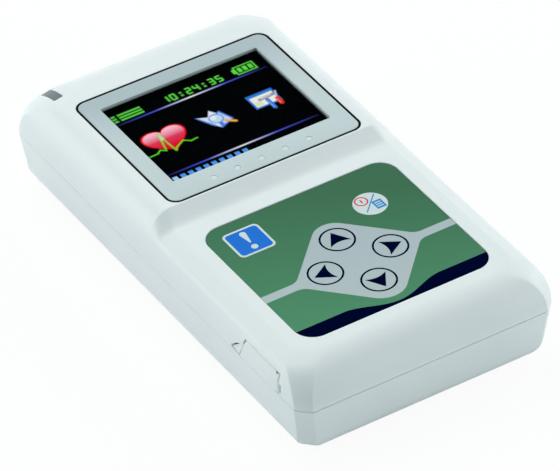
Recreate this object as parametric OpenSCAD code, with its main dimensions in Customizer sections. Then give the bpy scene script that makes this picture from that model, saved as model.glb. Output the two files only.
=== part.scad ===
// Pocket heart-rhythm recorder: a two-part casing with a colour screen, a film keypad of six keys,
// a side cover over the data socket and a battery door in the base.
// Millimetres. +Z is up through the screen, +Y points to the screen end, and the origin is at the
// middle of the base.

/* [Casing] */
// Width of the casing at its widest line
casing_w = 57.5; // [54:0.5:70]
// Length of the casing from the keypad end to the screen end
casing_l = 107; // [104:0.5:130]
// Height of the casing at the screen
casing_h = 22.4; // [21.6:0.1:27]
// Height of the line where the two covers meet
parting_h = 12.2; // [11.2:0.1:13]
// Wall of both covers
wall = 1.8; // [1.5:0.1:2.2]
// How far the keypad face lies below the screen face
keypad_drop = 2.25; // [1.5:0.05:2.7]
// Plan radius of the upright corners at the parting line
corner_r = 3.5; // [3:0.5:9]
// How far the top rounding reaches in from the sides
side_round_in = 6; // [4:0.5:7]
// How far the top rounding reaches in from the two ends
end_round_in = 7.6; // [5:0.2:8.4]
// How far the top rounding reaches down
round_down = 8.6; // [6:0.2:9]
// Radius of the edge round the base
base_round = 4.5; // [2:0.5:5]
// How far the base cover leans in over its height
base_lean = 1.4; // [0.4:0.1:1.6]

/* [Screen] */
// Width of the bezel plate
bezel_w = 43; // [38:0.5:44]
// Length of the bezel plate
bezel_l = 37.1; // [33:0.1:39]
// Distance from the screen end to the bezel plate
bezel_back = 12.9; // [11:0.1:16]
// Thickness of the bezel plate
bezel_t = 0.65; // [0.5:0.05:0.9]
// Corner radius of the bezel plate
bezel_r = 2; // [1:0.5:4]
// Width of the dark seal round the bezel plate
bezel_seal_w = 0.5; // [0.3:0.05:0.8]
// Width of the window in the bezel plate
window_w = 35.8; // [30:0.2:37]
// Length of the window in the bezel plate
window_l = 27.6; // [22:0.2:29]
// How far the window's middle lies behind the bezel's middle
window_shift = 1; // [0:0.1:2]
// Thickness of the clear lens
lens_t = 0.85; // [0.6:0.05:1]
// Thickness of the display glass
glass_t = 1.35; // [1:0.05:1.5]
// Diameter of the five pale dots below the window
dot_d = 1.3; // [0.8:0.1:2]
// Spacing of the five dots
dot_pitch = 5.4; // [4:0.1:7]

/* [Keypad] */
// Width of the printed keypad film
film_w = 42.5; // [38:0.5:44]
// Length of the printed keypad film
film_l = 38.5; // [36:0.1:41]
// Distance from the keypad end to the film
film_front = 9.9; // [9:0.1:13]
// Corner radius of the film
film_r = 4.1; // [2:0.1:6]
// Thickness of the film
film_t = 0.3; // [0.2:0.05:0.4]
// Thickness of the adhesive under the film
adhesive_t = 0.15; // [0.1:0.05:0.25]
// How far the film lies below the keypad face
film_sink = 0.15; // [0.05:0.05:0.3]
// Radius of the four arrow keys
arrow_key_r = 3.33; // [2.5:0.01:4]
// Distance of each arrow key from the middle of the cross
arrow_pitch = 7.3; // [6:0.1:8.5]
// Radius of the round power key
power_key_r = 3.36; // [2.5:0.01:4.5]
// Width of the square mark key
mark_key_w = 7.8; // [6:0.1:9]
// Corner radius of the square mark key
mark_key_r = 1; // [0.5:0.1:2]
// Travel of every key
key_travel = 0.3; // [0.2:0.05:0.4]
// Gap round every key
key_gap = 0.1; // [0.05:0.01:0.2]

/* [Board] */
// Thickness of the main board
board_t = 1.6; // [1:0.1:1.8]
// Height of the key domes
dome_h = 0.3; // [0.2:0.05:0.4]
// Radius of the case screws
screw_r = 1; // [0.8:0.1:1.2]
// Distance of the case screws from the sides
screw_side = 8.45; // [8:0.05:9.5]

/* [Batteries] */
// Diameter of one battery
cell_d = 10.5; // [8.5:0.1:10.6]
// Length of one battery
cell_l = 44.5; // [38:0.5:45]
// Thickness of the battery door
door_t = 1.5; // [1.2:0.1:1.8]
// How far the battery door lies inside the base face
door_sink = 0.15; // [0.1:0.05:0.3]

/* [Sockets] */
// Width of the lead socket
lead_w = 20; // [15:0.5:24]
// Height of the lead socket
lead_h = 5.4; // [5.2:0.1:5.8]
// Width of the data socket
data_w = 7.7; // [6:0.1:9]
// Height of the data socket
data_h = 3.9; // [3:0.1:4]
// Thickness of the side cover
flap_t = 1.3; // [1:0.1:1.5]
// Radius of the side cover's barrel
barrel_r = 0.8; // [0.7:0.05:1]
// Radius of the hinge pins
pin_r = 0.5; // [0.4:0.05:0.6]

/* [Hidden] */

$fn = 48;
eps = 0.01;
gap = 0.1;          // gap between fixed pieces that lie side by side
snug_gap = 0.02;    // gap round a piece that is let into another
run_gap = 0.15;     // gap round a piece that swings
pin_gap = 0.05;     // gap round a hinge pin
seat_gap = 0.04;    // gap under a face that slides on another
half_w = casing_w / 2;
half_l = casing_l / 2;
wall_lean = 0.03;   // lean of the upper walls, mm per mm of height
slice = 0.02;       // thickness of one section in a hull
round_steps = 9;    // sections through a rounded edge
top_corner_r = 8;   // plan radius of the corners at the very top
outside = 1;        // how far a cutting shape starts outside the casing
front_thicker = 1.2; // extra wall at the keypad end and the slope
seal_in = 1;        // foam seal: its distance from the outside, width and height
seal_w = 0.5;
seal_h = 0.6;
lens_lap = 1.3;     // how far the lens laps under the bezel
glass_w = window_w + 0.6;
glass_l = window_l + 1.6;
dot_h = 0.3;
dots_in = 2.45;     // dots: distance from the bezel's front edge
flex_w = 12;        // ribbon of the display
flex_t = 0.12;

// heights, from the face down
key_face = casing_h - keypad_drop;
film_floor = key_face - film_sink - film_t - adhesive_t;
film_top = key_face - film_sink;
film_low = film_top - film_t;
ceiling_key = key_face - wall;
ceiling_screen = casing_h - wall;
board_gap = 0.6;                                 // ceiling of the keypad to the board
board_top = ceiling_key - board_gap;
board_low = board_top - board_t;
bezel_floor = casing_h - bezel_t;
lens_low = bezel_floor - lens_t;
glass_low = lens_low - pin_gap - glass_t;
stem_low = board_top + dome_h + key_travel + pin_gap;

// places along the length
bezel_y = half_l - bezel_back - bezel_l / 2;
window_y = bezel_y + window_shift;
dots_y = bezel_y - bezel_l / 2 + dots_in;
film_y = -half_l + film_front + film_l / 2;
cross_y = film_y - 4;
mark_x = -14;
mark_y = film_y + 12.5;
power_x = 11.1;
power_y = film_y + 9;
step_low_y = film_y + film_l / 2 + 4.45;         // foot of the slope between the two faces
step_top_y = bezel_y - bezel_l / 2 - bezel_seal_w;
flat_half = half_w - 4.65;                       // half width of the keypad face
edge_drop = 1.65;                                // fall of the slanted band beside that face
edge_run = 3.8;                                  // its run
stem_r = 1.5;                                    // stem under each key
stem_clear = 0.4;                                // gap round the stem
dome_r = 2.5;

// main board
board_side = 3.95;                               // its edge to the casing's side
board_half_w = half_w - board_side;
board_front_y = -half_l + 6.7;
board_back_y = half_l - 4.5;
board_corner_r = 5;

// case screws: left and right, near each end
screw_x = half_w - screw_side;
screw_front_y = -half_l + 9;
screw_back_y = half_l - 10.5;
screw_places = [for (x = [-1, 1]) for (y = [screw_front_y, screw_back_y]) [x * screw_x, y]];
boss_r = 2.8;
boss_clear = 0.4;                                // gap from a boss to the board
shank_r = screw_r - 0.15;                        // cores of the case screws and of their holes
shank_in = 4.5;                                  // how far the case screws reach into the top cover
head_r = 1.9;
head_h = 1.3;
head_seat = 6.5;                                 // height of the face that the heads bear on
slot_l = 2.2;                                    // cross slot in a screw head
slot_w = 0.5;
slot_h = 0.7;
post_r = 1.9;
post_shank_r = screw_r - 0.25;
post_in = 1.3;                                   // how far the board screws reach into the posts
board_head_r = 1.6;
board_head_h = 1;
post_places = [[-half_w + 6.45, step_low_y - 0.3], [half_w - 6.45, step_low_y - 0.3],
               [lead_w / 2 + 3, half_l - 7.5]];

// battery bay
cell_gap = 0.3;
bay_w = 2 * cell_d + 3 * cell_gap;
spring_l = 3.2;
plate_t = 0.4;
bay_l = cell_l + spring_l + 2 * plate_t;
bay_front_y = -half_l + 12.5;
bay_back_y = bay_front_y + bay_l;
cell_z = door_sink + door_t + 0.2 + cell_d / 2;
bay_top = cell_z + cell_d / 2 + 0.2;
bay_wall = 1.1;
cell_x = (cell_d + cell_gap) / 2;
door_rim = 1.8;                                  // how far the door laps over the bay's edge
door_w = bay_w + 2 * door_rim;
door_barrel_r = 0.95;
door_front_y = bay_front_y - door_rim - 0.4;
door_back_y = bay_back_y + door_rim;
door_axis_y = door_front_y + door_barrel_r;
door_axis_z = door_sink + door_barrel_r;
door_stub = 1.5;                                 // length of the pin at each side of the door
floor_t = 2.7;                                   // thickened floor round the door
floor_rim = 3;                                   // how far that floor reaches past the door
finger_r = 5;                                    // round recess behind the door
finger_h = 0.8;
rib_pitch = 1.6;                                 // grip grooves in the door
rib_w = 0.7;
rib_l = 5;
rib_h = 0.35;
nub_r = 1.9;                                     // end contact of a battery
nub_h = 0.8;
plate_w = 8;                                     // contact plates of the battery bay
rating_w = 30;                                   // recess for the bare rating plate
rating_l = 20;
rating_y = half_l - 28;
rating_h = 0.2;

// lead socket, at the screen end under the board
lead_d = 12;
lead_y = half_l - 0.5;                           // mouth of the socket
lead_z = board_low - lead_h;
lead_shell = 0.5;
lead_depth = 8;                                  // depth of the socket's mouth
lead_reach = 4.8;                                // how far the notch in the covers reaches in
lead_pin = 0.5;
lead_pins = 9;                                   // pins in one row
lead_pin_l = 2.5;
lead_row = 0.95;                                 // each row's distance from the socket's middle
lead_edge = 2;                                   // outer pins to the socket's side

// data socket and the cover beside it, on the left wall
data_y = -half_l + 15.5;
data_d = 9;
data_shell = 0.35;
data_z = board_low - data_h;
flap_front_y = data_y - 7.3;
flap_top = board_low + 0.65;
flap_low = parting_h + seat_gap;
flap_top_y = data_y + 4.65;
flap_low_y = data_y + 6.6;
scoop_y = data_y + 9.4;
barrel_x = -half_w + wall_lean * (flap_top - parting_h) + barrel_r;
barrel_y = flap_front_y + barrel_r;
scoop_depth = 0.9;
frame_in = 3.6;                                  // depth of the block round the side cover
pin_foot = 2;                                    // how far the hinge pin stands in the base cover
pin_short = 0.2;                                 // how far it ends below the side cover's top
tongue_w = data_w - 2.7;                         // contact tongue in the data socket
tongue_h = 0.8;
socket_room = 0.3;                               // gap round the data socket

// indicator window over the back edge
light_x = -22.5;
light_w = 2;
light_front_y = half_l - 8.5;
light_low = casing_h - 4.5;

// pieces on the board, each [x, y, width, length, height]
chips = [[0, bay_back_y + 10.5, 14, 14, 1.4], [-15, bay_back_y + 9, 8, 11, 1],
         [15, bay_back_y + 9, 9, 9, 1.1], [-18, film_y + 16.3, 6, 6, 0.9],
         [18, film_y + 12.3, 5, 8, 1.2], [18, film_y - 1.7, 6, 5, 1.2]];
shield = [0, half_l - 20, 26, 9, 2.6];
shield_t = 0.3;
connector = [0, window_y - window_l / 2 - 4.6, 14, 2.2, 1];
light_chip = [light_x + 1, light_front_y + 2.2, 1.6, 0.8, 0.7];
buzzer_place = [-18.5, half_l - 22];
buzzer_r = 4.5;
buzzer_h = 3.2;
buzzer_hole_r = 0.8;

// ---- shared shapes -------------------------------------------------------------------------

// rectangle with round corners, flat
module round_rect(w, l, r) {
    square([w - 2 * r, l], center = true);
    square([w, l - 2 * r], center = true);
    for (x = [-1, 1]) for (y = [-1, 1])
        translate([x * (w / 2 - r), y * (l / 2 - r)]) circle(r = r);
}

// plate with round corners, from z up by t
module round_plate(w, l, t, r, y, z) {
    translate([0, y, z]) linear_extrude(height = t) round_rect(w, l, r);
}

// box given by its middle in x and y, and its foot in z
module box(x, y, z, w, l, h) {
    translate([x - w / 2, y - l / 2, z]) cube([w, l, h]);
}

// piece on the board, given as [x, y, width, length, height], from z up
module board_piece(c, z) {
    box(c[0], c[1], z, c[2], c[3], c[4]);
}

// pieces of one kind at several places
module at_each(places, z) {
    for (p = places) translate([p[0], p[1], z]) children();
}

// inset of an elliptic edge: reach in by run at the top, none at drop below it
function edge_inset(down, run, drop) =
    down >= drop ? 0 : run * (1 - sqrt(1 - pow((drop - down) / drop, 2)));

// one thin section of the casing
module section_slice(z, in_x, in_y, r) {
    for (x = [-1, 1]) for (y = [-1, 1])
        translate([x * (half_w - in_x - r), y * (half_l - in_y - r), z])
            cylinder(r = r, h = slice, $fn = 32);
}

// outer form of the casing above the parting line, or its hollow when t is the wall
module upper_form(t, low) {
    top = casing_h - t;
    span = top - low;
    hull() for (i = [0 : round_steps + 1]) {
        down = (i == 0) ? span : round_down * (1 - sin(90 * (i - 1) / round_steps));
        z = min(max(top - down, low), top - slice);
        lean = wall_lean * max(z - parting_h, 0);
        in_x = t + lean + edge_inset(down, side_round_in, round_down);
        in_y = t + lean + edge_inset(down, end_round_in, round_down);
        r = corner_r + (top_corner_r - corner_r) * (z - low) / span - t;
        section_slice(z, in_x, in_y, r);
    }
}

// outer form of the base cover, or its hollow when t is the wall
module lower_form(t, high) {
    hull() for (i = [0 : round_steps]) {
        a = 90 * i / round_steps;
        z = (i == round_steps) ? high - slice : max(base_round * (1 - cos(a)), t);
        edge = base_round * (1 - sin(a));
        lean = base_lean * (parting_h - z) / parting_h;
        section_slice(z, t + lean + edge, t + lean + edge, max(corner_r - t - edge / 2, 1));
    }
}

// what is cut away above the keypad face: the face, its slanted edges, the slope and the front edge
module keypad_cut() {
    far = 2 * casing_h;
    side = flat_half + 2 * edge_run;
    side_z = key_face - 2 * edge_drop;
    slope_run = step_top_y - step_low_y;
    intersection() {
        translate([0, step_top_y, 0]) rotate([90, 0, 0]) linear_extrude(height = casing_l)
            polygon([[-flat_half, key_face], [flat_half, key_face], [side, side_z], [side, far],
                     [-side, far], [-side, side_z]]);
        on_left_wall(-half_w - outside, casing_w + 2 * outside)
            polygon([[step_top_y, casing_h], [step_low_y - 2 * slope_run, key_face - 2 * keypad_drop],
                     [-casing_l, key_face - 2 * keypad_drop], [-casing_l, far], [step_top_y, far]]);
    }
    on_left_wall(-half_w - outside, casing_w + 2 * outside)
        polygon(concat([[-half_l - outside, far], [-half_l + end_round_in, far]],
                       [for (i = [0 : round_steps])
                           let (a = 90 * i / round_steps)
                           [-half_l + end_round_in * (1 - sin(a)) - (i == round_steps ? outside : 0),
                            key_face - round_down * (1 - cos(a))]]));
}

// outline of the side cover in the y-z plane, grown by grow, and by front at the hinge
module flap_outline(grow, front) {
    polygon([[flap_front_y - front, flap_low - grow], [flap_front_y - front, flap_top + grow],
             [flap_top_y + grow, flap_top + grow], [flap_top_y + 1 + grow, flap_top - 2.4],
             [flap_low_y + grow, flap_low - grow]]);
}

// finger scoop behind the side cover, in the y-z plane
module scoop_outline() {
    polygon([[flap_top_y - 0.6, flap_top], [flap_top_y, flap_top], [scoop_y + 1.1, parting_h - 0.1],
             [scoop_y - 1.2, parting_h - 1.8], [flap_low_y - 0.6, flap_low - 0.1]]);
}

// stands a y-z outline up as a slab on the left wall, from x inwards
module on_left_wall(x, depth) {
    translate([x, 0, 0]) rotate([90, 0, 90]) linear_extrude(height = depth) children();
}

// outline of the main board, clear of the screw bosses
module board_outline() {
    clear = boss_r + boss_clear;
    difference() {
        translate([0, (board_front_y + board_back_y) / 2])
            round_rect(2 * board_half_w, board_back_y - board_front_y, board_corner_r);
        for (p = screw_places) translate(p) circle(r = clear);
        for (x = [-1, 1]) translate([x * half_w, screw_front_y - clear])
            square([2 * (half_w - screw_x + clear), 2 * clear], center = true);
    }
}

// places and shapes of the six key openings, grown by g
module key_shape(name, g) {
    if (name == "mark")
        translate([mark_x, mark_y]) round_rect(mark_key_w + 2 * g, mark_key_w + 2 * g, mark_key_r + g);
    else if (name == "power")
        translate([power_x, power_y]) circle(r = power_key_r + g);
    else
        translate(arrow_place(name)) circle(r = arrow_key_r + g);
}

function arrow_place(name) =
    name == "up" ? [0, cross_y + arrow_pitch] :
    name == "down" ? [0, cross_y - arrow_pitch] :
    name == "left" ? [-arrow_pitch, cross_y] : [arrow_pitch, cross_y];

function key_place(name) =
    name == "mark" ? [mark_x, mark_y] :
    name == "power" ? [power_x, power_y] : arrow_place(name);

key_names = ["up", "down", "left", "right", "mark", "power"];

// one key: its piece of film with the stem that meets the dome
module key(name) {
    translate([0, 0, film_low]) linear_extrude(height = film_t) key_shape(name, 0);
    translate(concat(key_place(name), stem_low)) cylinder(r = stem_r, h = film_low - stem_low + eps);
}

// ---- casing --------------------------------------------------------------------------------

module top_cover() {
    flap_depth = outside + wall_lean * (flap_top - parting_h) + flap_t;
    color("whitesmoke") difference() {
        union() {
            difference() {
                upper_form(0, parting_h);
                keypad_cut();
                difference() {
                    translate([0, 0, -eps]) upper_form(wall, parting_h);
                    translate([0, front_thicker, -wall]) keypad_cut();
                }
            }
            intersection() {
                upper_form(wall / 3, parting_h);
                union() {
                    for (p = screw_places) top_boss(p, boss_r, parting_h);
                    for (p = post_places) top_boss(p, post_r, board_top);
                }
            }
            box(-half_w + wall + frame_in / 2 - 0.2, (flap_front_y + flap_low_y) / 2, parting_h,
                frame_in, flap_low_y - flap_front_y + 5, board_low - parting_h - socket_room);
        }
        // bezel, lens and display
        round_plate(bezel_w + 2 * bezel_seal_w, bezel_l + 2 * bezel_seal_w, 2 * bezel_t,
                    bezel_r + bezel_seal_w, bezel_y, bezel_floor);
        box(0, window_y, ceiling_key, window_w + 2 * lens_lap + 4 * gap, window_l + 2 * lens_lap + 4 * gap,
            2 * wall);
        // keypad film and keys
        round_plate(film_w + 2 * gap, film_l + 2 * gap, wall, film_r + gap, film_y, film_floor);
        for (name = key_names) {
            translate([0, 0, film_floor - key_travel]) linear_extrude(height = wall)
                key_shape(name, key_gap);
            translate(concat(key_place(name), ceiling_key - wall))
                cylinder(r = stem_r + stem_clear, h = 2 * wall);
        }
        // screws
        at_each(screw_places, parting_h - eps) cylinder(r = shank_r, h = shank_in + 0.5);
        at_each(post_places, board_top - eps) cylinder(r = post_shank_r, h = post_in + 0.2);
        // side cover, its barrel and pin, and the way in to the data socket
        on_left_wall(-half_w - outside, flap_depth + gap)
            flap_outline(gap, run_gap + wall_lean * (flap_top - parting_h));
        on_left_wall(-half_w - outside, outside + scoop_depth) scoop_outline();
        translate([barrel_x, barrel_y, flap_low - 1])
            cylinder(r = barrel_r + run_gap, h = flap_top + run_gap - flap_low + 1);
        data_notch();
        // lead socket and indicator window
        lead_notch();
        light_block(gap / 2);
    }
}

// boss that hangs from the ceiling of the top cover down to z
module top_boss(p, r, z) {
    ceiling = (p[1] < bezel_y - bezel_l / 2) ? ceiling_key : ceiling_screen;
    translate([p[0], p[1], z]) cylinder(r = r, h = ceiling - z + wall / 6);
}

// room for the data socket, also in the base cover if the socket reaches that low
module data_notch() {
    box(-half_w + data_d / 2, data_y, data_z - gap, data_d + 2, data_w + 2 * socket_room,
        data_h + socket_room);
}

module lead_notch() {
    box(0, half_l, lead_z - gap, lead_w + 2 * gap, 2 * lead_reach, lead_h + 2 * gap);
}

module bottom_cover() {
    bay_mid_y = (bay_front_y + bay_back_y) / 2;
    door_mid_y = (door_front_y + door_back_y) / 2;
    door_l = door_back_y - door_front_y;
    color("whitesmoke") difference() {
        union() {
            difference() {
                lower_form(0, parting_h);
                lower_form(wall, parting_h + 1);
            }
            intersection() {
                lower_form(wall / 4, parting_h);
                union() {
                    box(0, door_mid_y, 0, door_w + 2 * floor_rim, door_l + 2 * floor_rim, floor_t);
                    at_each(screw_places, 0) cylinder(r = boss_r + 0.3, h = parting_h);
                    translate([barrel_x + 0.9, barrel_y, parting_h - 2 * pin_foot])
                        cylinder(r = 2.2, h = 2 * pin_foot);
                }
            }
            box(0, bay_mid_y, wall / 4, bay_w + 2 * bay_wall, bay_l + 2 * bay_wall,
                bay_top + bay_wall - wall / 4);
        }
        // battery bay, the seat of its door and the hinge holes
        box(0, bay_mid_y, -1, bay_w, bay_l, bay_top + 1);
        box(0, door_mid_y, -1, door_w + 2 * run_gap, door_l + 2 * run_gap, 1 + door_sink + door_t + gap / 2);
        translate([0, door_axis_y, door_axis_z]) rotate([0, 90, 0]) {
            cylinder(r = door_barrel_r + run_gap, h = door_w + 2 * run_gap, center = true);
            cylinder(r = pin_r + pin_gap, h = door_w + 2 * door_stub + 1, center = true);
        }
        translate([0, door_back_y + 1, finger_h - finger_r]) cylinder(r = finger_r, h = finger_r);
        // screws
        at_each(screw_places, -1) cylinder(r = head_r + 0.2, h = head_seat + 1);
        at_each(screw_places, -1) cylinder(r = screw_r + 0.15, h = parting_h + 2);
        // seal groove, foot of the hinge pin and lower end of the finger scoop
        seal_ring(snug_gap);
        translate([barrel_x, barrel_y, parting_h - pin_foot]) cylinder(r = pin_r, h = pin_foot + 1);
        on_left_wall(-half_w - outside, outside + scoop_depth) scoop_outline();
        lead_notch();
        data_notch();
        rating_recess();
    }
}

// flat ring in the rim of the base cover
module seal_ring(grow) {
    inner = seal_in + seal_w;
    difference() {
        round_plate(casing_w - 2 * seal_in + 2 * grow, casing_l - 2 * seal_in + 2 * grow, seal_h + 2 * grow,
                    corner_r - seal_in + grow, 0, parting_h - seal_h - grow);
        round_plate(casing_w - 2 * inner - 2 * grow, casing_l - 2 * inner - 2 * grow, 3 * seal_h,
                    corner_r - inner - grow, 0, parting_h - 2 * seal_h);
    }
}

// two strips of foam, which stop at the lead socket and at the hinge pin
module cover_seal() {
    color("dimgray") difference() {
        translate([0, 0, -snug_gap]) seal_ring(0);
        translate([barrel_x, barrel_y, 0]) cylinder(r = pin_r + gap, h = casing_h);
        box(0, half_l, 0, lead_w + 4 * gap, 2 * lead_reach, casing_h);
    }
}

module case_screws() {
    color("silver") at_each(screw_places, head_seat - head_h) difference() {
        union() {
            cylinder(r = head_r, h = head_h);
            cylinder(r = shank_r, h = parting_h + shank_in - head_seat + head_h);
        }
        for (a = [0, 90]) rotate(a) box(0, 0, -eps, slot_l, slot_w, slot_h);
    }
}

module rating_recess() {
    round_plate(rating_w, rating_l, 1 + rating_h, 1.5, rating_y, -1);
}

// bare plate, let into the base
module rating_plate() {
    color("silver")
        round_plate(rating_w - 4 * gap, rating_l - 4 * gap, rating_h / 2, 1.3, rating_y, rating_h / 2);
}

// ---- screen --------------------------------------------------------------------------------

module screen_bezel() {
    color("silver") difference() {
        round_plate(bezel_w, bezel_l, bezel_t, bezel_r, bezel_y, bezel_floor);
        box(0, window_y, bezel_floor - 1, window_w, window_l, 3);
        for (i = [-2 : 2])
            translate([i * dot_pitch, dots_y, casing_h - dot_h]) cylinder(d = dot_d + 2 * snug_gap, h = 1);
    }
}

module bezel_dots() {
    color("white") for (i = [-2 : 2])
        translate([i * dot_pitch, dots_y, casing_h - dot_h]) cylinder(d = dot_d, h = dot_h - pin_gap);
}

module bezel_seal() {
    outer = bezel_seal_w - snug_gap;
    color("darkslategray") difference() {
        round_plate(bezel_w + 2 * outer, bezel_l + 2 * outer, bezel_t - pin_gap, bezel_r + outer, bezel_y,
                    bezel_floor);
        round_plate(bezel_w + 2 * snug_gap, bezel_l + 2 * snug_gap, 3, bezel_r, bezel_y, bezel_floor - 1);
    }
}

module display_lens() {
    color([0.1, 0.1, 0.12, 0.5])
        round_plate(window_w + 2 * lens_lap, window_l + 2 * lens_lap, lens_t, 0.5, window_y, lens_low);
}

module display_glass() {
    color("black") box(0, window_y, glass_low, glass_w, glass_l, glass_t);
}

// tray that holds the glass over the board, open at its foot for the ribbon
module display_frame() {
    rim = 1.6;
    ledge = 0.3;
    color("whitesmoke") difference() {
        box(0, window_y, board_top + gap, glass_w + 2 * rim, glass_l + 2 * rim,
            ceiling_screen - 4 * gap - board_top);
        box(0, window_y, glass_low - ledge, glass_w + ledge, glass_l + ledge, glass_t + ledge + 1);
        box(0, window_y - glass_l / 2 - rim, glass_low - ledge, flex_w + 1, 4 * rim, glass_t + ledge + 1);
    }
}

// ribbon from the foot of the glass down to its connector on the board
module display_flex() {
    start_y = window_y - glass_l / 2 + 2;
    foot_y = connector[1] + 0.7;
    foot_z = board_top + connector[4] + snug_gap;
    low = glass_low - snug_gap - flex_t;
    color("orange") translate([-flex_w / 2, 0, 0]) rotate([90, 0, 90]) linear_extrude(height = flex_w)
        polygon([[start_y, low + flex_t], [foot_y, low + flex_t], [foot_y - 0.8, foot_z + flex_t],
                 [foot_y - 0.8, foot_z], [foot_y - 0.6, foot_z], [foot_y + 0.2, low], [start_y, low]]);
}

module flex_connector() {
    color("ivory") board_piece(connector, board_top);
}

// ---- keypad --------------------------------------------------------------------------------

module keypad_film() {
    color("seagreen") difference() {
        round_plate(film_w, film_l, film_t, film_r, film_y, film_low);
        for (name = key_names)
            translate([0, 0, film_low - 1]) linear_extrude(height = 3) key_shape(name, key_gap);
    }
}

module keypad_adhesive() {
    inset = 0.5;
    color("gainsboro") difference() {
        round_plate(film_w - 2 * inset, film_l - 2 * inset, adhesive_t, film_r - inset, film_y, film_floor);
        for (name = key_names)
            translate([0, 0, film_floor - 1]) linear_extrude(height = 3) key_shape(name, 2 * key_gap);
    }
}

module key_up() { color("silver") key("up"); }
module key_down() { color("silver") key("down"); }
module key_left() { color("silver") key("left"); }
module key_right() { color("silver") key("right"); }
module key_mark() { color("dodgerblue") key("mark"); }
module key_power() { color("white") key("power"); }

// snap domes, drawn at their pressed height
module key_domes() {
    color("silver") for (name = key_names) translate(concat(key_place(name), board_top)) {
        cylinder(r = dome_r, h = dome_h / 2);
        cylinder(r1 = dome_r - 0.2, r2 = dome_r / 2, h = dome_h);
    }
}

// ---- electronics ---------------------------------------------------------------------------

module main_board() {
    color("darkgreen") translate([0, 0, board_low]) difference() {
        linear_extrude(height = board_t) board_outline();
        at_each(post_places, -1) cylinder(r = screw_r, h = board_t + 2);
    }
}

module board_screws() {
    color("silver") at_each(post_places, board_low - board_head_h) {
        cylinder(r = board_head_r, h = board_head_h);
        cylinder(r = post_shank_r, h = board_head_h + board_t + post_in);
    }
}

module board_chips() {
    color("black") for (c = chips) board_piece(c, board_low - c[4]);
}

module amplifier_shield() {
    color("silver") difference() {
        board_piece(shield, board_low - shield[4]);
        box(shield[0], shield[1], board_low - shield[4] + shield_t, shield[2] - 2 * shield_t,
            shield[3] - 2 * shield_t, shield[4]);
    }
}

module buzzer() {
    color("black") translate(concat(buzzer_place, board_low - buzzer_h)) difference() {
        cylinder(r = buzzer_r, h = buzzer_h);
        translate([0, 0, -1]) cylinder(r = buzzer_hole_r, h = 2);
    }
}

// ---- indicator -----------------------------------------------------------------------------

module light_block(grow) {
    box(light_x, light_front_y + 5, light_low - grow, light_w + 2 * grow, 10 + 2 * grow, casing_h);
}

module indicator_window() {
    color("darkslategray") difference() {
        intersection() {
            upper_form(0.05, parting_h);
            light_block(0);
        }
        upper_form(wall - 0.4, parting_h);
    }
}

module indicator_light() {
    color("palegreen") board_piece(light_chip, board_top);
}

// ---- sockets -------------------------------------------------------------------------------

module lead_socket() {
    color("gray") difference() {
        box(0, lead_y - lead_d / 2, lead_z, lead_w, lead_d, lead_h - gap / 2);
        box(0, lead_y - lead_depth / 2 + 1, lead_z + lead_shell, lead_w - 2 * lead_shell, lead_depth + 2,
            lead_h - gap / 2 - 2 * lead_shell);
    }
}

module lead_contacts() {
    pitch = (lead_w - 2 * lead_edge) / (lead_pins - 1);
    floor_y = lead_y - lead_depth;
    color("gold") for (i = [0 : lead_pins - 1]) for (row = [-1, 1])
        box(-lead_w / 2 + lead_edge + i * pitch, floor_y + lead_pin_l / 2,
            lead_z + lead_h / 2 + row * lead_row - lead_pin / 2, lead_pin, lead_pin_l, lead_pin);
}

module data_socket() {
    inner_w = data_w - 2 * data_shell;
    inner_h = data_h - 2 * data_shell;
    back = 1;
    mid_x = -half_w + wall + 0.2 + data_d / 2;
    color("silver") difference() {
        box(mid_x, data_y, data_z, data_d, data_w, data_h - gap / 2);
        box(mid_x - back, data_y, data_z + data_shell, data_d, inner_w, inner_h);
    }
    color("black")
        box(mid_x + 0.4, data_y, data_z + (data_h - tongue_h) / 2, data_d - 2.4, tongue_w, tongue_h);
}

// ---- side cover ----------------------------------------------------------------------------

module side_cover() {
    color("whitesmoke") difference() {
        union() {
            difference() {
                intersection() {
                    upper_form(0, parting_h);
                    on_left_wall(-half_w - outside, outside + wall_lean * (flap_top - parting_h) + flap_t)
                        flap_outline(0, 0);
                }
                box(-half_w, flap_front_y, flap_low - 1, 4 * wall, 2 * barrel_r, 2 * data_h);
            }
            translate([barrel_x, barrel_y, flap_low]) cylinder(r = barrel_r, h = flap_top - flap_low);
        }
        translate([barrel_x, barrel_y, flap_low - 1])
            cylinder(r = pin_r + pin_gap, h = flap_top - flap_low + 2);
    }
}

module side_cover_pin() {
    low = parting_h - pin_foot + gap;
    color("silver") translate([barrel_x, barrel_y, low])
        cylinder(r = pin_r - snug_gap, h = flap_top - pin_short - low);
}

// ---- battery bay ---------------------------------------------------------------------------

module battery_door() {
    color("whitesmoke") difference() {
        union() {
            box(0, (door_axis_y + door_back_y) / 2, door_sink, door_w, door_back_y - door_axis_y, door_t);
            translate([0, door_axis_y, door_axis_z]) rotate([0, 90, 0]) {
                cylinder(r = door_barrel_r, h = door_w, center = true);
                cylinder(r = pin_r, h = door_w + 2 * door_stub, center = true);
            }
        }
        for (i = [-3 : 3]) box(i * rib_pitch, door_back_y - rib_l, door_sink - eps, rib_w, rib_l, rib_h);
    }
}

// two cells side by side, pointing opposite ways
module batteries() {
    color("gold") for (s = [-1, 1])
        translate([s * cell_x, (s > 0) ? bay_front_y + plate_t : bay_back_y - plate_t, cell_z])
            rotate([-s * 90, 0, 0]) {
                cylinder(r = nub_r, h = nub_h + eps);
                translate([0, 0, nub_h]) cylinder(r = cell_d / 2, h = cell_l - nub_h);
            }
}

// conical springs, kept as plain solids inside the closed bay
module battery_springs() {
    color("silver") for (s = [-1, 1])
        translate([s * cell_x, (s > 0) ? bay_back_y - plate_t : bay_front_y + plate_t, cell_z])
            rotate([s * 90, 0, 0]) cylinder(r1 = 3.4, r2 = 2.2, h = spring_l);
}

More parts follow.
